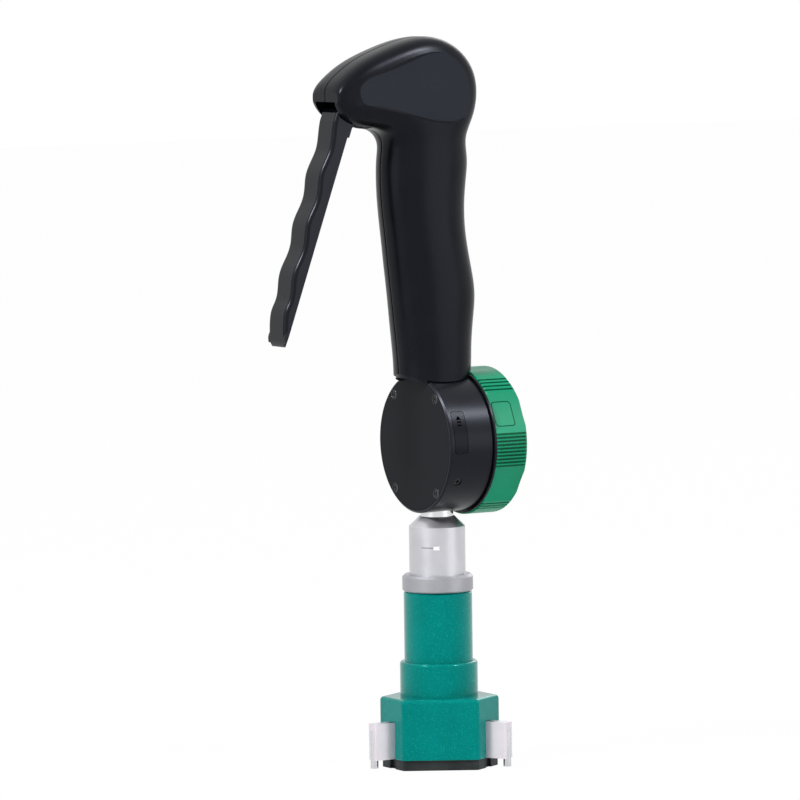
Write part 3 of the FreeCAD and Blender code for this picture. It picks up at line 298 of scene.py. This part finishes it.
def build_grain():
    """Fine moulded or blasted grain, as a bump of noise."""
    group, given, result = new_group(
        "fine_grain",
        (("Scale", FLOAT, 2000.0), ("Height", FLOAT, 0.00002)),
        (("Normal", VECTOR),))
    noise = add_node(group, "ShaderNodeTexNoise", {"Detail": 3.0, "Roughness": 0.6})
    bump = add_node(group, "ShaderNodeBump", {"Strength": 1.0})
    links = group.links
    links.new(object_position(group), noise.inputs["Vector"])
    links.new(given["Scale"], noise.inputs["Scale"])
    links.new(noise.outputs[0], bump.inputs["Height"])
    links.new(given["Height"], bump.inputs["Distance"])
    links.new(bump.outputs[0], result["Normal"])
    return group


def build_clouds():
    """Slow change between two values and two colours."""
    group, given, result = new_group(
        "slow_clouds",
        (("Scale", FLOAT, 60.0), ("Dark", COLOUR, (0, 0, 0, 1)), ("Light", COLOUR, WHITE),
         ("Low", FLOAT, 0.3), ("High", FLOAT, 0.5)),
        (("Colour", COLOUR), ("Value", FLOAT)))
    noise = add_node(group, "ShaderNodeTexNoise", {"Detail": 4.0, "Roughness": 0.55})
    low, high = CLOUD_RANGE
    shape = add_node(group, "ShaderNodeMapRange", {"From Min": low, "From Max": high})
    tint = add_node(group, "ShaderNodeMix", data_type="RGBA")
    value = add_node(group, "ShaderNodeMapRange")
    links = group.links
    links.new(object_position(group), noise.inputs["Vector"])
    links.new(given["Scale"], noise.inputs["Scale"])
    links.new(noise.outputs[0], shape.inputs["Value"])
    links.new(shape.outputs[0], tint.inputs[0])
    links.new(given["Dark"], tint.inputs[6])
    links.new(given["Light"], tint.inputs[7])
    links.new(shape.outputs[0], value.inputs["Value"])
    links.new(given["Low"], value.inputs["To Min"])
    links.new(given["High"], value.inputs["To Max"])
    links.new(tint.outputs[2], result["Colour"])
    links.new(value.outputs[0], result["Value"])
    return group


def build_turning():
    """Fine tool lines along one coordinate of a turned piece."""
    group, given, result = new_group(
        "turning_lines",
        (("Position", FLOAT, 0.0), ("Scale", FLOAT, 6000.0), ("Height", FLOAT, 0.00001)),
        (("Normal", VECTOR),))
    noise = add_node(group, "ShaderNodeTexNoise", {"Scale": 1.0, "Detail": 2.0}, noise_dimensions="1D")
    bump = add_node(group, "ShaderNodeBump", {"Strength": 1.0})
    links = group.links
    links.new(math_node(group, "MULTIPLY", given["Position"], given["Scale"]), noise.inputs["W"])
    links.new(noise.outputs[0], bump.inputs["Height"])
    links.new(given["Height"], bump.inputs["Distance"])
    links.new(bump.outputs[0], result["Normal"])
    return group


def build_flakes():
    """Metal flakes under a clear paint: scattered cells of a lighter colour."""
    group, given, result = new_group(
        "metal_flakes",
        (("Scale", FLOAT, 2500.0), ("Share", FLOAT, 0.25), ("Base", COLOUR, (0, 0, 0, 1)),
         ("Fleck", COLOUR, WHITE)),
        (("Colour", COLOUR),))
    cells = add_node(group, "ShaderNodeTexVoronoi")
    pick = add_node(group, "ShaderNodeSeparateColor")
    tint = add_node(group, "ShaderNodeMix", data_type="RGBA")
    links = group.links
    links.new(object_position(group), cells.inputs["Vector"])
    links.new(given["Scale"], cells.inputs["Scale"])
    links.new(cells.outputs["Color"], pick.inputs[0])
    links.new(math_node(group, "LESS_THAN", pick.outputs[0], given["Share"]), tint.inputs[0])
    links.new(given["Base"], tint.inputs[6])
    links.new(given["Fleck"], tint.inputs[7])
    links.new(tint.outputs[2], result["Colour"])
    return group


def build_seam_and_shade():
    """Narrow groove where a coordinate is near zero, cut into the normal that comes in; its mask marks
    painted shade.
    """
    group, given, result = new_group(
        "parting_seam_and_shade",
        (("Position", FLOAT, 0.0), ("Half width", FLOAT, 0.0004), ("Normal", VECTOR, (0, 0, 1))),
        (("Mask", FLOAT), ("Normal", VECTOR)))
    away = math_node(group, "ABSOLUTE", given["Position"])
    share = math_node(group, "DIVIDE", away, given["Half width"])
    depth = math_node(group, "SUBTRACT", SEAM_EDGE, share, clamp=True)
    bump = add_node(group, "ShaderNodeBump", {"Strength": 1.0, "Distance": 0.0001}, invert=True)
    links = group.links
    links.new(depth, bump.inputs["Height"])
    links.new(given["Normal"], bump.inputs["Normal"])
    links.new(depth, result["Mask"])
    links.new(bump.outputs[0], result["Normal"])
    return group


def build_outline_shade():
    """Mask of the painted shade in a groove along a rounded rectangle, from two surface coordinates
    measured from its middle.
    """
    group, given, result = new_group(
        "outline_groove_shade",
        (("A", FLOAT, 0.0), ("B", FLOAT, 0.0), ("Half A", FLOAT, 0.003), ("Half B", FLOAT, 0.008),
         ("Corner", FLOAT, 0.001), ("Width", FLOAT, 0.0002)),
        (("Mask", FLOAT),))
    calc = partial(math_node, group)
    over =[calc("ADD", calc("SUBTRACT", calc("ABSOLUTE", given[axis]), given[half]), given["Corner"])
            for axis, half in (("A", "Half A"), ("B", "Half B"))]
    outside = [calc("MAXIMUM", value, 0.0) for value in over]
    squares = [calc("MULTIPLY", value, value) for value in outside]
    corner = calc("SQRT", calc("ADD", *squares))
    inside = calc("MINIMUM", calc("MAXIMUM", *over), 0.0)
    distance = calc("SUBTRACT", calc("ADD", corner, inside), given["Corner"])
    share = calc("DIVIDE", calc("ABSOLUTE", distance), given["Width"])
    group.links.new(calc("SUBTRACT", OUTLINE_EDGE, share, clamp=True), result["Mask"])
    return group


def build_rib_shade():
    """Mask of painted shade in grooves at equal angles, from an angle in degrees."""
    group, given, result = new_group(
        "rib_groove_shade",
        (("Angle", FLOAT, 0.0), ("Centre", FLOAT, 0.0), ("Pitch", FLOAT, 2.8), ("Offset", FLOAT, 0.5),
         ("Half span", FLOAT, 14.0), ("Half width", FLOAT, 0.7)),
        (("Mask", FLOAT),))
    calc = partial(math_node, group)
    from_centre =calc("SUBTRACT", given["Angle"], given["Centre"])
    steps = calc("ADD", calc("DIVIDE", from_centre, given["Pitch"]), given["Offset"])
    part_step = calc("ABSOLUTE", calc("SUBTRACT", steps, calc("ROUND", steps)))
    away = calc("MULTIPLY", part_step, given["Pitch"])
    line = calc("SUBTRACT", RIB_EDGE, calc("DIVIDE", away, given["Half width"]), clamp=True)
    reach = calc("LESS_THAN", calc("ABSOLUTE", from_centre), given["Half span"])
    group.links.new(calc("MULTIPLY", line, reach), result["Mask"])
    return group


GRAIN = build_grain()
SEAM_AND_SHADE = build_seam_and_shade()
CLOUDS = build_clouds()
TURNING = build_turning()
FLAKES = build_flakes()
OUTLINE_SHADE = build_outline_shade()
RIB_SHADE = build_rib_shade()


# Finishes

PLAIN_SOCKETS = {"metallic": "Metallic", "specular": "Specular IOR Level",
                 "specular_tint": "Specular Tint", "coat": "Coat Weight", "coat_rough": "Coat Roughness",
                 "transmission": "Transmission Weight", "ior": "IOR"}


def colour(red, green, blue):
    """sRGB bytes as a linear colour."""
    shares = [c / 255 for c in (red, green, blue)]
    linear = [((s + 0.055) / 1.055) ** 2.4 if s > 0.04 else s / 12.92 for s in shares]
    return (*linear, 1)


def tint_with(tree, mask, tint, dull=False):
    """Mixes another colour in where the mask is 1, and may make the surface fully rough there."""
    bsdf = tree.nodes["Principled BSDF"]
    source = bsdf.inputs["Base Color"].links[0].from_socket
    mix = add_node(tree, "ShaderNodeMix", {7: tint}, data_type="RGBA")
    tree.links.new(mask, mix.inputs[0])
    tree.links.new(source, mix.inputs[6])
    tree.links.new(mix.outputs[2], bsdf.inputs["Base Color"])
    if dull:
        before = bsdf.inputs["Roughness"].links[0].from_socket
        tree.links.new(math_node(tree, "MAXIMUM", before, mask), bsdf.inputs["Roughness"])


def grain_normal(tree, scale, height, seam):
    """Normal of the fine grain with the parting line at Y = 0 cut into it where the piece has one, and
    painted shade in that line.
    """
    skin = use_group(tree, GRAIN, {"Scale": scale, "Height": height * MM})
    if not seam:
        return skin.outputs["Normal"]
    groove = use_group(tree, SEAM_AND_SHADE)
    tree.links.new(split_position(tree)["Y"], groove.inputs["Position"])
    tree.links.new(skin.outputs["Normal"], groove.inputs["Normal"])
    # Painted shade in the seam: black and fully rough along the groove.
    tint_with(tree, groove.outputs["Mask"], colour(0, 0, 0), dull=True)
    return groove.outputs["Normal"]


def turned_normal(tree, scale, height):
    """Normal of tool lines stacked along Z."""
    lines = use_group(tree, TURNING, {"Scale": scale, "Height": height * MM})
    tree.links.new(split_position(tree)["Z"], lines.inputs["Position"])
    return lines.outputs["Normal"]


def finish(name, dark, light, rough, grain=None, turned=None, flakes=None, seam=False, **plain):
    """One finish, whose colour and roughness change slowly over the piece.

    dark and light are sRGB bytes, and rough is the lowest and highest roughness. grain and turned are
    a scale and a height in millimetres. flakes are a scale, a share and a colour. plain are values
    that are the same all over, set on the shader's own sockets.
    """
    material = bpy.data.materials.new(name)
    material.use_nodes = True
    tree = material.node_tree
    bsdf = tree.nodes["Principled BSDF"]
    ends = {"Dark": colour(*dark), "Light": colour(*light), "Low": rough[0], "High": rough[1]}
    clouds = use_group(tree, CLOUDS, ends)
    tint = clouds.outputs["Colour"]
    if flakes:
        scale, share, fleck = flakes
        flecks = use_group(tree, FLAKES, {"Scale": scale, "Share": share, "Fleck": colour(*fleck)})
        tree.links.new(tint, flecks.inputs["Base"])
        tint = flecks.outputs["Colour"]
    tree.links.new(tint, bsdf.inputs["Base Color"])
    tree.links.new(clouds.outputs["Value"], bsdf.inputs["Roughness"])
    if grain:
        tree.links.new(grain_normal(tree, *grain, seam), bsdf.inputs["Normal"])
    if turned:
        tree.links.new(turned_normal(tree, *turned), bsdf.inputs["Normal"])
    for key, socket in PLAIN_SOCKETS.items():
        if key in plain:
            bsdf.inputs[socket].default_value = plain[key]
    return material


COOL_SHEEN = (0.78, 0.82, 1.0, 1)
TEAL_SHEEN = colour(0, 226, 216)

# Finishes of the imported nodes, by the name of their slot
FINISHES = {
    "black_plate": finish("plate_black", (34, 38, 38), (50, 55, 55), (0.36, 0.46), grain=(2600, 0.012),
                          specular=0.12),
    "screw_steel": finish("screw_steel", (120, 122, 126), (160, 162, 166), (0.25, 0.38), metallic=1.0),
    "teal_paint": finish("teal_metallic_paint", (0, 110, 104), (0, 118, 112), (0.16, 0.22),
                         flakes=(4600, 0.04, (20, 150, 140)), coat=0.06, coat_rough=0.04,
                         specular=0.3, specular_tint=TEAL_SHEEN),
    "bronze": finish("bearing_bronze", (150, 110, 62), (178, 134, 80), (0.32, 0.45), metallic=1.0,
                     turned=(9000, 0.006)),
    "satin_steel": finish("satin_steel", (184, 184, 189), (196, 196, 201), (0.26, 0.36), metallic=0.8,
                          turned=(9000, 0.008)),
    "polished_steel": finish("ground_steel", (206, 208, 210), (226, 227, 228), (0.16, 0.24), metallic=1.0,
                             turned=(12000, 0.003)),
    "black_metal": finish("black_anodised_metal", (11, 13, 17), (15, 17, 21), (0.26, 0.32),
                          grain=(5200, 0.004), specular=0.19, specular_tint=COOL_SHEEN),
    "battery_steel": finish("cell_steel", (188, 190, 190), (214, 214, 212), (0.2, 0.3), metallic=1.0),
    "inner_plastic": finish("inner_plastic", (22, 23, 26), (28, 29, 32), (0.4, 0.5), grain=(3000, 0.008),
                            specular=0.26),
    "spring_steel": finish("spring_steel", (170, 172, 174), (196, 197, 198), (0.22, 0.32), metallic=1.0),
    "circuit_board": finish("board_green", (16, 84, 48), (26, 104, 60), (0.35, 0.5), coat=0.4,
                            coat_rough=0.1),
    "black_plastic": finish("grip_moulding", (8, 9, 12), (12, 13, 17), (0.26, 0.32), grain=(3600, 0.004),
                            specular=0.14, specular_tint=COOL_SHEEN, seam=True),
    "hard_steel": finish("hard_steel", (176, 178, 181), (204, 205, 207), (0.24, 0.34), metallic=1.0),
    "black_lever": finish("lever_moulding", (5, 6, 8), (8, 9, 11), (0.24, 0.3), grain=(3600, 0.003),
                          specular=0.23, specular_tint=COOL_SHEEN),
    "green_bezel": finish("bezel_green_plastic", (13, 127, 92), (18, 136, 101), (0.34, 0.42),
                          grain=(2400, 0.005), coat=0.05, coat_rough=0.12, specular=0.08),
    "face_plastic": finish("face_plastic", (34, 36, 40), (40, 42, 46), (0.4, 0.5), grain=(3200, 0.01)),
    "window": finish("window_clear", (236, 240, 240), (244, 246, 246), (0.03, 0.05), transmission=1.0,
                     ior=1.45),
    "display_glass": finish("display_glass", (150, 164, 146), (160, 172, 154), (0.18, 0.24), coat=0.5,
                            coat_rough=0.1),
    "button_rubber": finish("button_rubber", (66, 70, 76), (78, 82, 88), (0.5, 0.62), grain=(3600, 0.012)),
    "matt_steel": finish("blasted_steel", (204, 198, 205), (214, 208, 215), (0.42, 0.52), metallic=0.5,
                         grain=(3400, 0.008)),
    "carbide": finish("carbide", (196, 196, 200), (214, 214, 218), (0.22, 0.32), metallic=1.0),
}
SCREW_BLACK = finish("screw_black_oxide", (12, 13, 15), (18, 19, 22), (0.14, 0.2), specular=0.3)
SEAT_STEEL = finish("screw_seat_steel", (84, 86, 92), (98, 100, 106), (0.12, 0.18), metallic=1.0)
INDEX_WHITE = finish("index_white", (226, 226, 230), (236, 236, 240), (0.4, 0.5), specular=0.2)
INDEX_DARK = finish("index_engraved", (96, 98, 104), (112, 114, 120), (0.4, 0.5), metallic=0.5)
COVER_BLACK = finish("cover_black", (16, 18, 22), (22, 24, 28), (0.4, 0.5), grain=(5200, 0.004),
                     specular=0.06)
RING_STEEL = finish("ring_steel", (148, 148, 154), (164, 164, 170), (0.34, 0.44), metallic=0.8,
                    turned=(7000, 0.014))
DARK_GAP = finish("dark_gap", (3, 3, 4), (5, 5, 6), (0.7, 0.8), specular=0.01)
SEGMENT = finish("display_segment", (24, 30, 26), (30, 36, 32), (0.4, 0.5))

# Nodes that differ from the rest of their slot
OWN_FINISHES = {"head_collar": RING_STEEL, "back_cover": COVER_BLACK, "back_cover_screws": SCREW_BLACK,
                "side_screw": SCREW_BLACK, "grip_screws": SCREW_BLACK}


def rim_gap_shade(material, node, angle, half_w, corner, radius, dark):
    """Paints shade into the narrow gap round a rounded cover that lies on the display's rim."""
    tree = material.node_tree
    calc = partial(math_node, tree)
    low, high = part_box(node)
    x, y, z = split_position(tree)
    front = calc("MULTIPLY", y, -1.0)
    turn = calc("SUBTRACT", calc("ARCTAN2", calc("SUBTRACT", z, DISPLAY_Z), front), angle)
    sizes = {"Half A": (high[0] - low[0]) / 2, "Half B": half_w, "Corner": corner, "Width": GROOVE_W}
    groove = use_group(tree, OUTLINE_SHADE, sizes)
    tree.links.new(calc("SUBTRACT", x, (low[0] + high[0]) / 2), groove.inputs["A"])
    tree.links.new(calc("MULTIPLY", turn, radius), groove.inputs["B"])
    # Painted shade: the given dark colour, fully rough, along the gap where shade falls in the joint.
    tint_with(tree, groove.outputs["Mask"], dark, dull=True)


def dish_floor_sheen(material):
    """Painted sheen on the flat floor of the dish in each side of the handle's head: a lighter, bluish
    colour.

    The floor is where Y is the floor's and the side view lies inside every edge between DISH_CORNERS.
    """
    tree = material.node_tree
    calc = partial(math_node, tree)
    position = object_position(tree)
    off = calc("SUBTRACT", calc("ABSOLUTE", split_position(tree)["Y"]), DISH_FLOOR_Y)
    outside = calc("SUBTRACT", calc("ABSOLUTE", off), DISH_TOLERANCE)
    for (x0, z0), (x1, z1) in zip(DISH_CORNERS, DISH_CORNERS[1:] + DISH_CORNERS[:1]):
        length = math.hypot(x1 - x0, z1 - z0)
        outward = ((z0 - z1) / length, 0, (x1 - x0) / length)
        reach = outward[0] * x0 * MM + outward[2] * (HOUSING_HIGH[2] + z0 * MM)
        along = add_node(tree, "ShaderNodeVectorMath", {1: outward}, operation="DOT_PRODUCT")
        tree.links.new(position, along.inputs[0])
        outside = calc("MAXIMUM", outside, calc("SUBTRACT", along.outputs["Value"], reach))
    # Painted sheen: a lighter, bluish colour for the light the dish floor catches from the right front.
    tint_with(tree, calc("LESS_THAN", outside, 0.0), colour(25, 28, 34))


def bezel_rib_shade(material):
    """Paints shade into the grooves between the ribs, on both sides of the display."""
    tree = material.node_tree
    calc = partial(math_node, tree)
    _, y, z = split_position(tree)
    turn = calc("ARCTAN2", calc("SUBTRACT", z, DISPLAY_Z), calc("ABSOLUTE", y))
    angle = calc("MULTIPLY", turn, math.degrees(1))
    rib_shade_mask = 0.0
    for centre, pitch, offset, half_span in RIB_GROUPS:
        sizes = {"Centre": centre, "Pitch": pitch, "Offset": offset, "Half span": half_span}
        ribs = use_group(tree, RIB_SHADE, sizes)
        tree.links.new(angle, ribs.inputs["Angle"])
        rib_shade_mask = calc("MAXIMUM", ribs.outputs[0], rib_shade_mask)
    # Painted shade: a darker green where shade falls in the rib grooves.
    tint_with(tree, rib_shade_mask, colour(8, 88, 58))


def dress_nodes():
    """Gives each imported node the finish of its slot, or its own."""
    for name, node in NODES.items():
        for place in node.material_slots:
            label = place.material.name.split(".")[0]
            place.material = OWN_FINISHES.get(name, FINISHES[label])
    # Painted shade in the gaps round the battery door and the port cover.
    rim_gap_shade(FINISHES["black_metal"], "battery_door", DOOR_ANGLE, DOOR_HALF_W, DOOR_CORNER, HOUSING_R,
                colour(2, 2, 3))
    rim_gap_shade(FINISHES["green_bezel"], "port_cover", PORT_ANGLE, PORT_HALF_W, PORT_CORNER, PORT_RADIUS,
                colour(6, 84, 56))
    bezel_rib_shade(FINISHES["green_bezel"])
    dish_floor_sheen(FINISHES["black_plastic"])


# Meshes of the fine pieces

def new_piece(name, parts, body, material, smooth=False):
    """Mesh object made of closed parts, each with its points and faces, that rides on a body."""
    starts = np.cumsum([0] + [len(points) for points, faces in parts])
    points = np.vstack([points for points, faces in parts])
    all_faces = []
    for start, (_, faces) in zip(starts, parts):
        all_faces += [(np.array(face) + start).tolist() for face in faces]
    mesh = bpy.data.meshes.new(name)
    mesh.from_pydata(points.tolist(), [], all_faces)
    mesh.materials.append(material)
    mesh.polygons.foreach_set("use_smooth", [smooth] * len(mesh.polygons))
    mesh.update()
    piece = bpy.data.objects.new(name, mesh)
    bpy.context.collection.objects.link(piece)
    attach(piece, body)


def at(x, y, z):
    """Points from three coordinates, as numbers or arrays."""
    return np.stack(np.broadcast_arrays(x, y, z), axis=-1)


def grid_faces(rows, columns, rows_close=False):
    """Quads between neighbouring points of a grid; its columns close on themselves, and its rows may."""
    index = np.arange(rows * columns).reshape(rows, columns)
    index = np.hstack([index, index[:, :1]])
    if rows_close:
        index = np.vstack([index, index[:1]])
    corners = (index[:-1, :-1], index[:-1, 1:], index[1:, 1:], index[1:, :-1])
    return np.stack(corners, axis=-1).reshape(-1, 4).tolist()


def plate_mesh(outline, place):
    """Closed thin plate: the outline's points (a, b) just below and just above the surface, and a rim."""
    a, b = np.array(outline).T
    count = len(outline)
    lift = np.array([[-MARK_LIFT], [MARK_LIFT]])
    bottom, top = list(range(count)), list(range(count, 2 * count))
    return place(a, b, lift).reshape(-1, 3), grid_faces(2, count) + [bottom[::-1], top]


def strip_mesh(columns, place):
    """Closed thin strip that bends with the surface.

    Each column (a, low, high) is a section of four corners: low and high above the surface, then high
    and low below it. Neighbouring sections are joined, and the first and the last are closed.
    """
    a, low, high = np.array(columns).T[:, :, None]
    lift = np.array([MARK_LIFT, MARK_LIFT, -MARK_LIFT, -MARK_LIFT])
    points = place(a, np.hstack([low, high, high, low]), lift)
    last = 4 * (len(columns) - 1)
    ends = [[3, 2, 1, 0], [last, last + 1, last + 2, last + 3]]
    return points.reshape(-1, 3), grid_faces(len(columns), 4) + ends


def bar(a0, a1, low, high, steps):
    """Columns of a strip of even height, at equal steps from a0 to a1."""
    return at(np.linspace(a0, a1, steps), low, high)


def ring_mesh(centre):
    """Closed torus round an axis along X.

    A point stands off the axis by the ring's radius plus the tube's times the cosine of roll, and
    along it by the tube's times the sine. Turn carries it round the axis.
    """
    around, across = SEAT_STEPS
    turn = np.linspace(0, 2 * math.pi, around, endpoint=False)[:, None]
    roll = np.linspace(0, -2 * math.pi, across, endpoint=False)
    out = SEAT_R + SEAT_TUBE * np.cos(roll)
    points = at(centre[0] + SEAT_TUBE * np.sin(roll), centre[1] + out * np.cos(turn),
                centre[2] + out * np.sin(turn))
    return points.reshape(-1, 3), grid_faces(around, across, rows_close=True)


# Fine pieces

def door_mark():
    """Generic slide arrow with two bars below it, near the top of the battery door."""
    middle = (DOOR_LOW[0] + DOOR_HIGH[0]) / 2 / MM

    def on_rim(arc, x, lift):
        """Points on the round rim, arc millimetres up from the door's middle and lifted off it."""
        radius = HOUSING_R + lift * MM
        angle = DOOR_ANGLE + arc * MM / HOUSING_R
        return at(x * MM, -radius * np.cos(angle), DISPLAY_Z + radius * np.sin(angle))

    arrow = [(ARROW_LOW, middle - ARROW_HALF_W, middle + ARROW_HALF_W),
             (ARROW_LOW + ARROW_H, middle - ARROW_TIP_W, middle + ARROW_TIP_W)]
    bars = [bar(low, low + BAR_H, middle - BAR_HALF_W, middle + BAR_HALF_W, BAR_STEPS) for low in BAR_LOWS]
    strips = [strip_mesh(columns, on_rim) for columns in [arrow] + bars]
    new_piece("door_mark", strips, "battery_door", DARK_GAP)


def screw_seats():
    """Bright edge of the countersink round each screw of the back cover."""
    x = HOUSING_LOW[0] + SEAT_TUBE * SEAT_SUNK
    spots = [(y, rise) for y in (-SEAT_Y, SEAT_Y) for rise in (-SEAT_RISE, SEAT_RISE)]
    rings = [ring_mesh((x, y, DISPLAY_Z + rise)) for y, rise in spots]
    new_piece("cover_screw_seats", rings, "display", SEAT_STEEL, smooth=True)


def sleeve_mark():
    """Engraved index line that ends in a bright notched block, drawn from right to left."""

    def on_sleeve(arc, height, lift):
        """Points on the sleeve, arc millimetres round from the side that faces the camera."""
        radius = SLEEVE_R + lift * MM
        angle = math.radians(CAMERA_AZIMUTH - 90) + arc * MM / radius
        return at(radius * np.cos(angle), radius * np.sin(angle), COLLAR_TOP + height * MM)

    low, high = INDEX_HEIGHT - INDEX_BLOCK_H / 2, INDEX_HEIGHT + INDEX_BLOCK_H / 2
    notch = INDEX_END - INDEX_BLOCK_H / 2
    line = bar(INDEX_BLOCK, INDEX_START, INDEX_HEIGHT, INDEX_HEIGHT + INDEX_LINE_H, INDEX_LINE_STEPS)
    body = bar(notch, INDEX_BLOCK, low, high, INDEX_BLOCK_STEPS)
    upper = [(INDEX_END, high - NOTCH_TIP, high), (notch, INDEX_HEIGHT, high)]
    lower = [(INDEX_END, low, low + NOTCH_TIP), (notch, low, INDEX_HEIGHT)]
    new_piece("sleeve_index_line", [strip_mesh(line, on_sleeve)], "frame", INDEX_DARK)
    block = [strip_mesh(columns, on_sleeve) for columns in (body, upper, lower)]
    new_piece("sleeve_index_block", block, "frame", INDEX_WHITE)


def pointed_bar(start, end):
    """Six-cornered bar between two points: a tip a gap away from each, and two shoulders to each side."""
    half = DIGIT_STROKE / 2
    along = (end - start) / np.linalg.norm(end - start)
    side = np.array((along[1], -along[0])) * half
    gap = along * half * DIGIT_GAP
    first, last = start + gap, end - gap
    near, far = first + along * half, last - along * half
    return [first, near + side, far + side, last, far - side, near - side]


def display_reading():
    """Seven-segment reading behind the window: four digits and a point."""
    low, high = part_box("lcd_module")
    bottom = (low[2] + high[2]) / 2 / MM - DIGIT_H / 2
    left = -len(READING) / 2 * DIGIT_PITCH + (DIGIT_PITCH - DIGIT_W) / 2
    cell = np.array((DIGIT_W, DIGIT_H / 2))

    def on_screen(y, z, lift):
        """Points on the flat face of the screen, lifted off it."""
        return at(high[0] + lift * MM, y * MM, z * MM)

    outlines = []
    for place, digit in enumerate(READING):
        corner = np.array((left + place * DIGIT_PITCH, bottom))
        for name in BARS_OF_DIGIT[digit]:
            start, end = corner + cell * np.array(BAR_ENDS[name])
            outlines.append(pointed_bar(start, end))
    half = DIGIT_STROKE / 2
    point = np.array((left + DIGIT_PITCH * READING_POINT - (DIGIT_PITCH - DIGIT_W) / 2, bottom))
    outlines.append(point + half * np.array(((-1, -1), (1, -1), (1, 1), (-1, 1))))
    plates = [plate_mesh(outline, on_screen) for outline in outlines]
    new_piece("display_reading", plates, "display", SEGMENT)


def main():
    place_camera()
    build_studio()
    dress_nodes()
    door_mark()
    screw_seats()
    sleeve_mark()
    display_reading()


main()
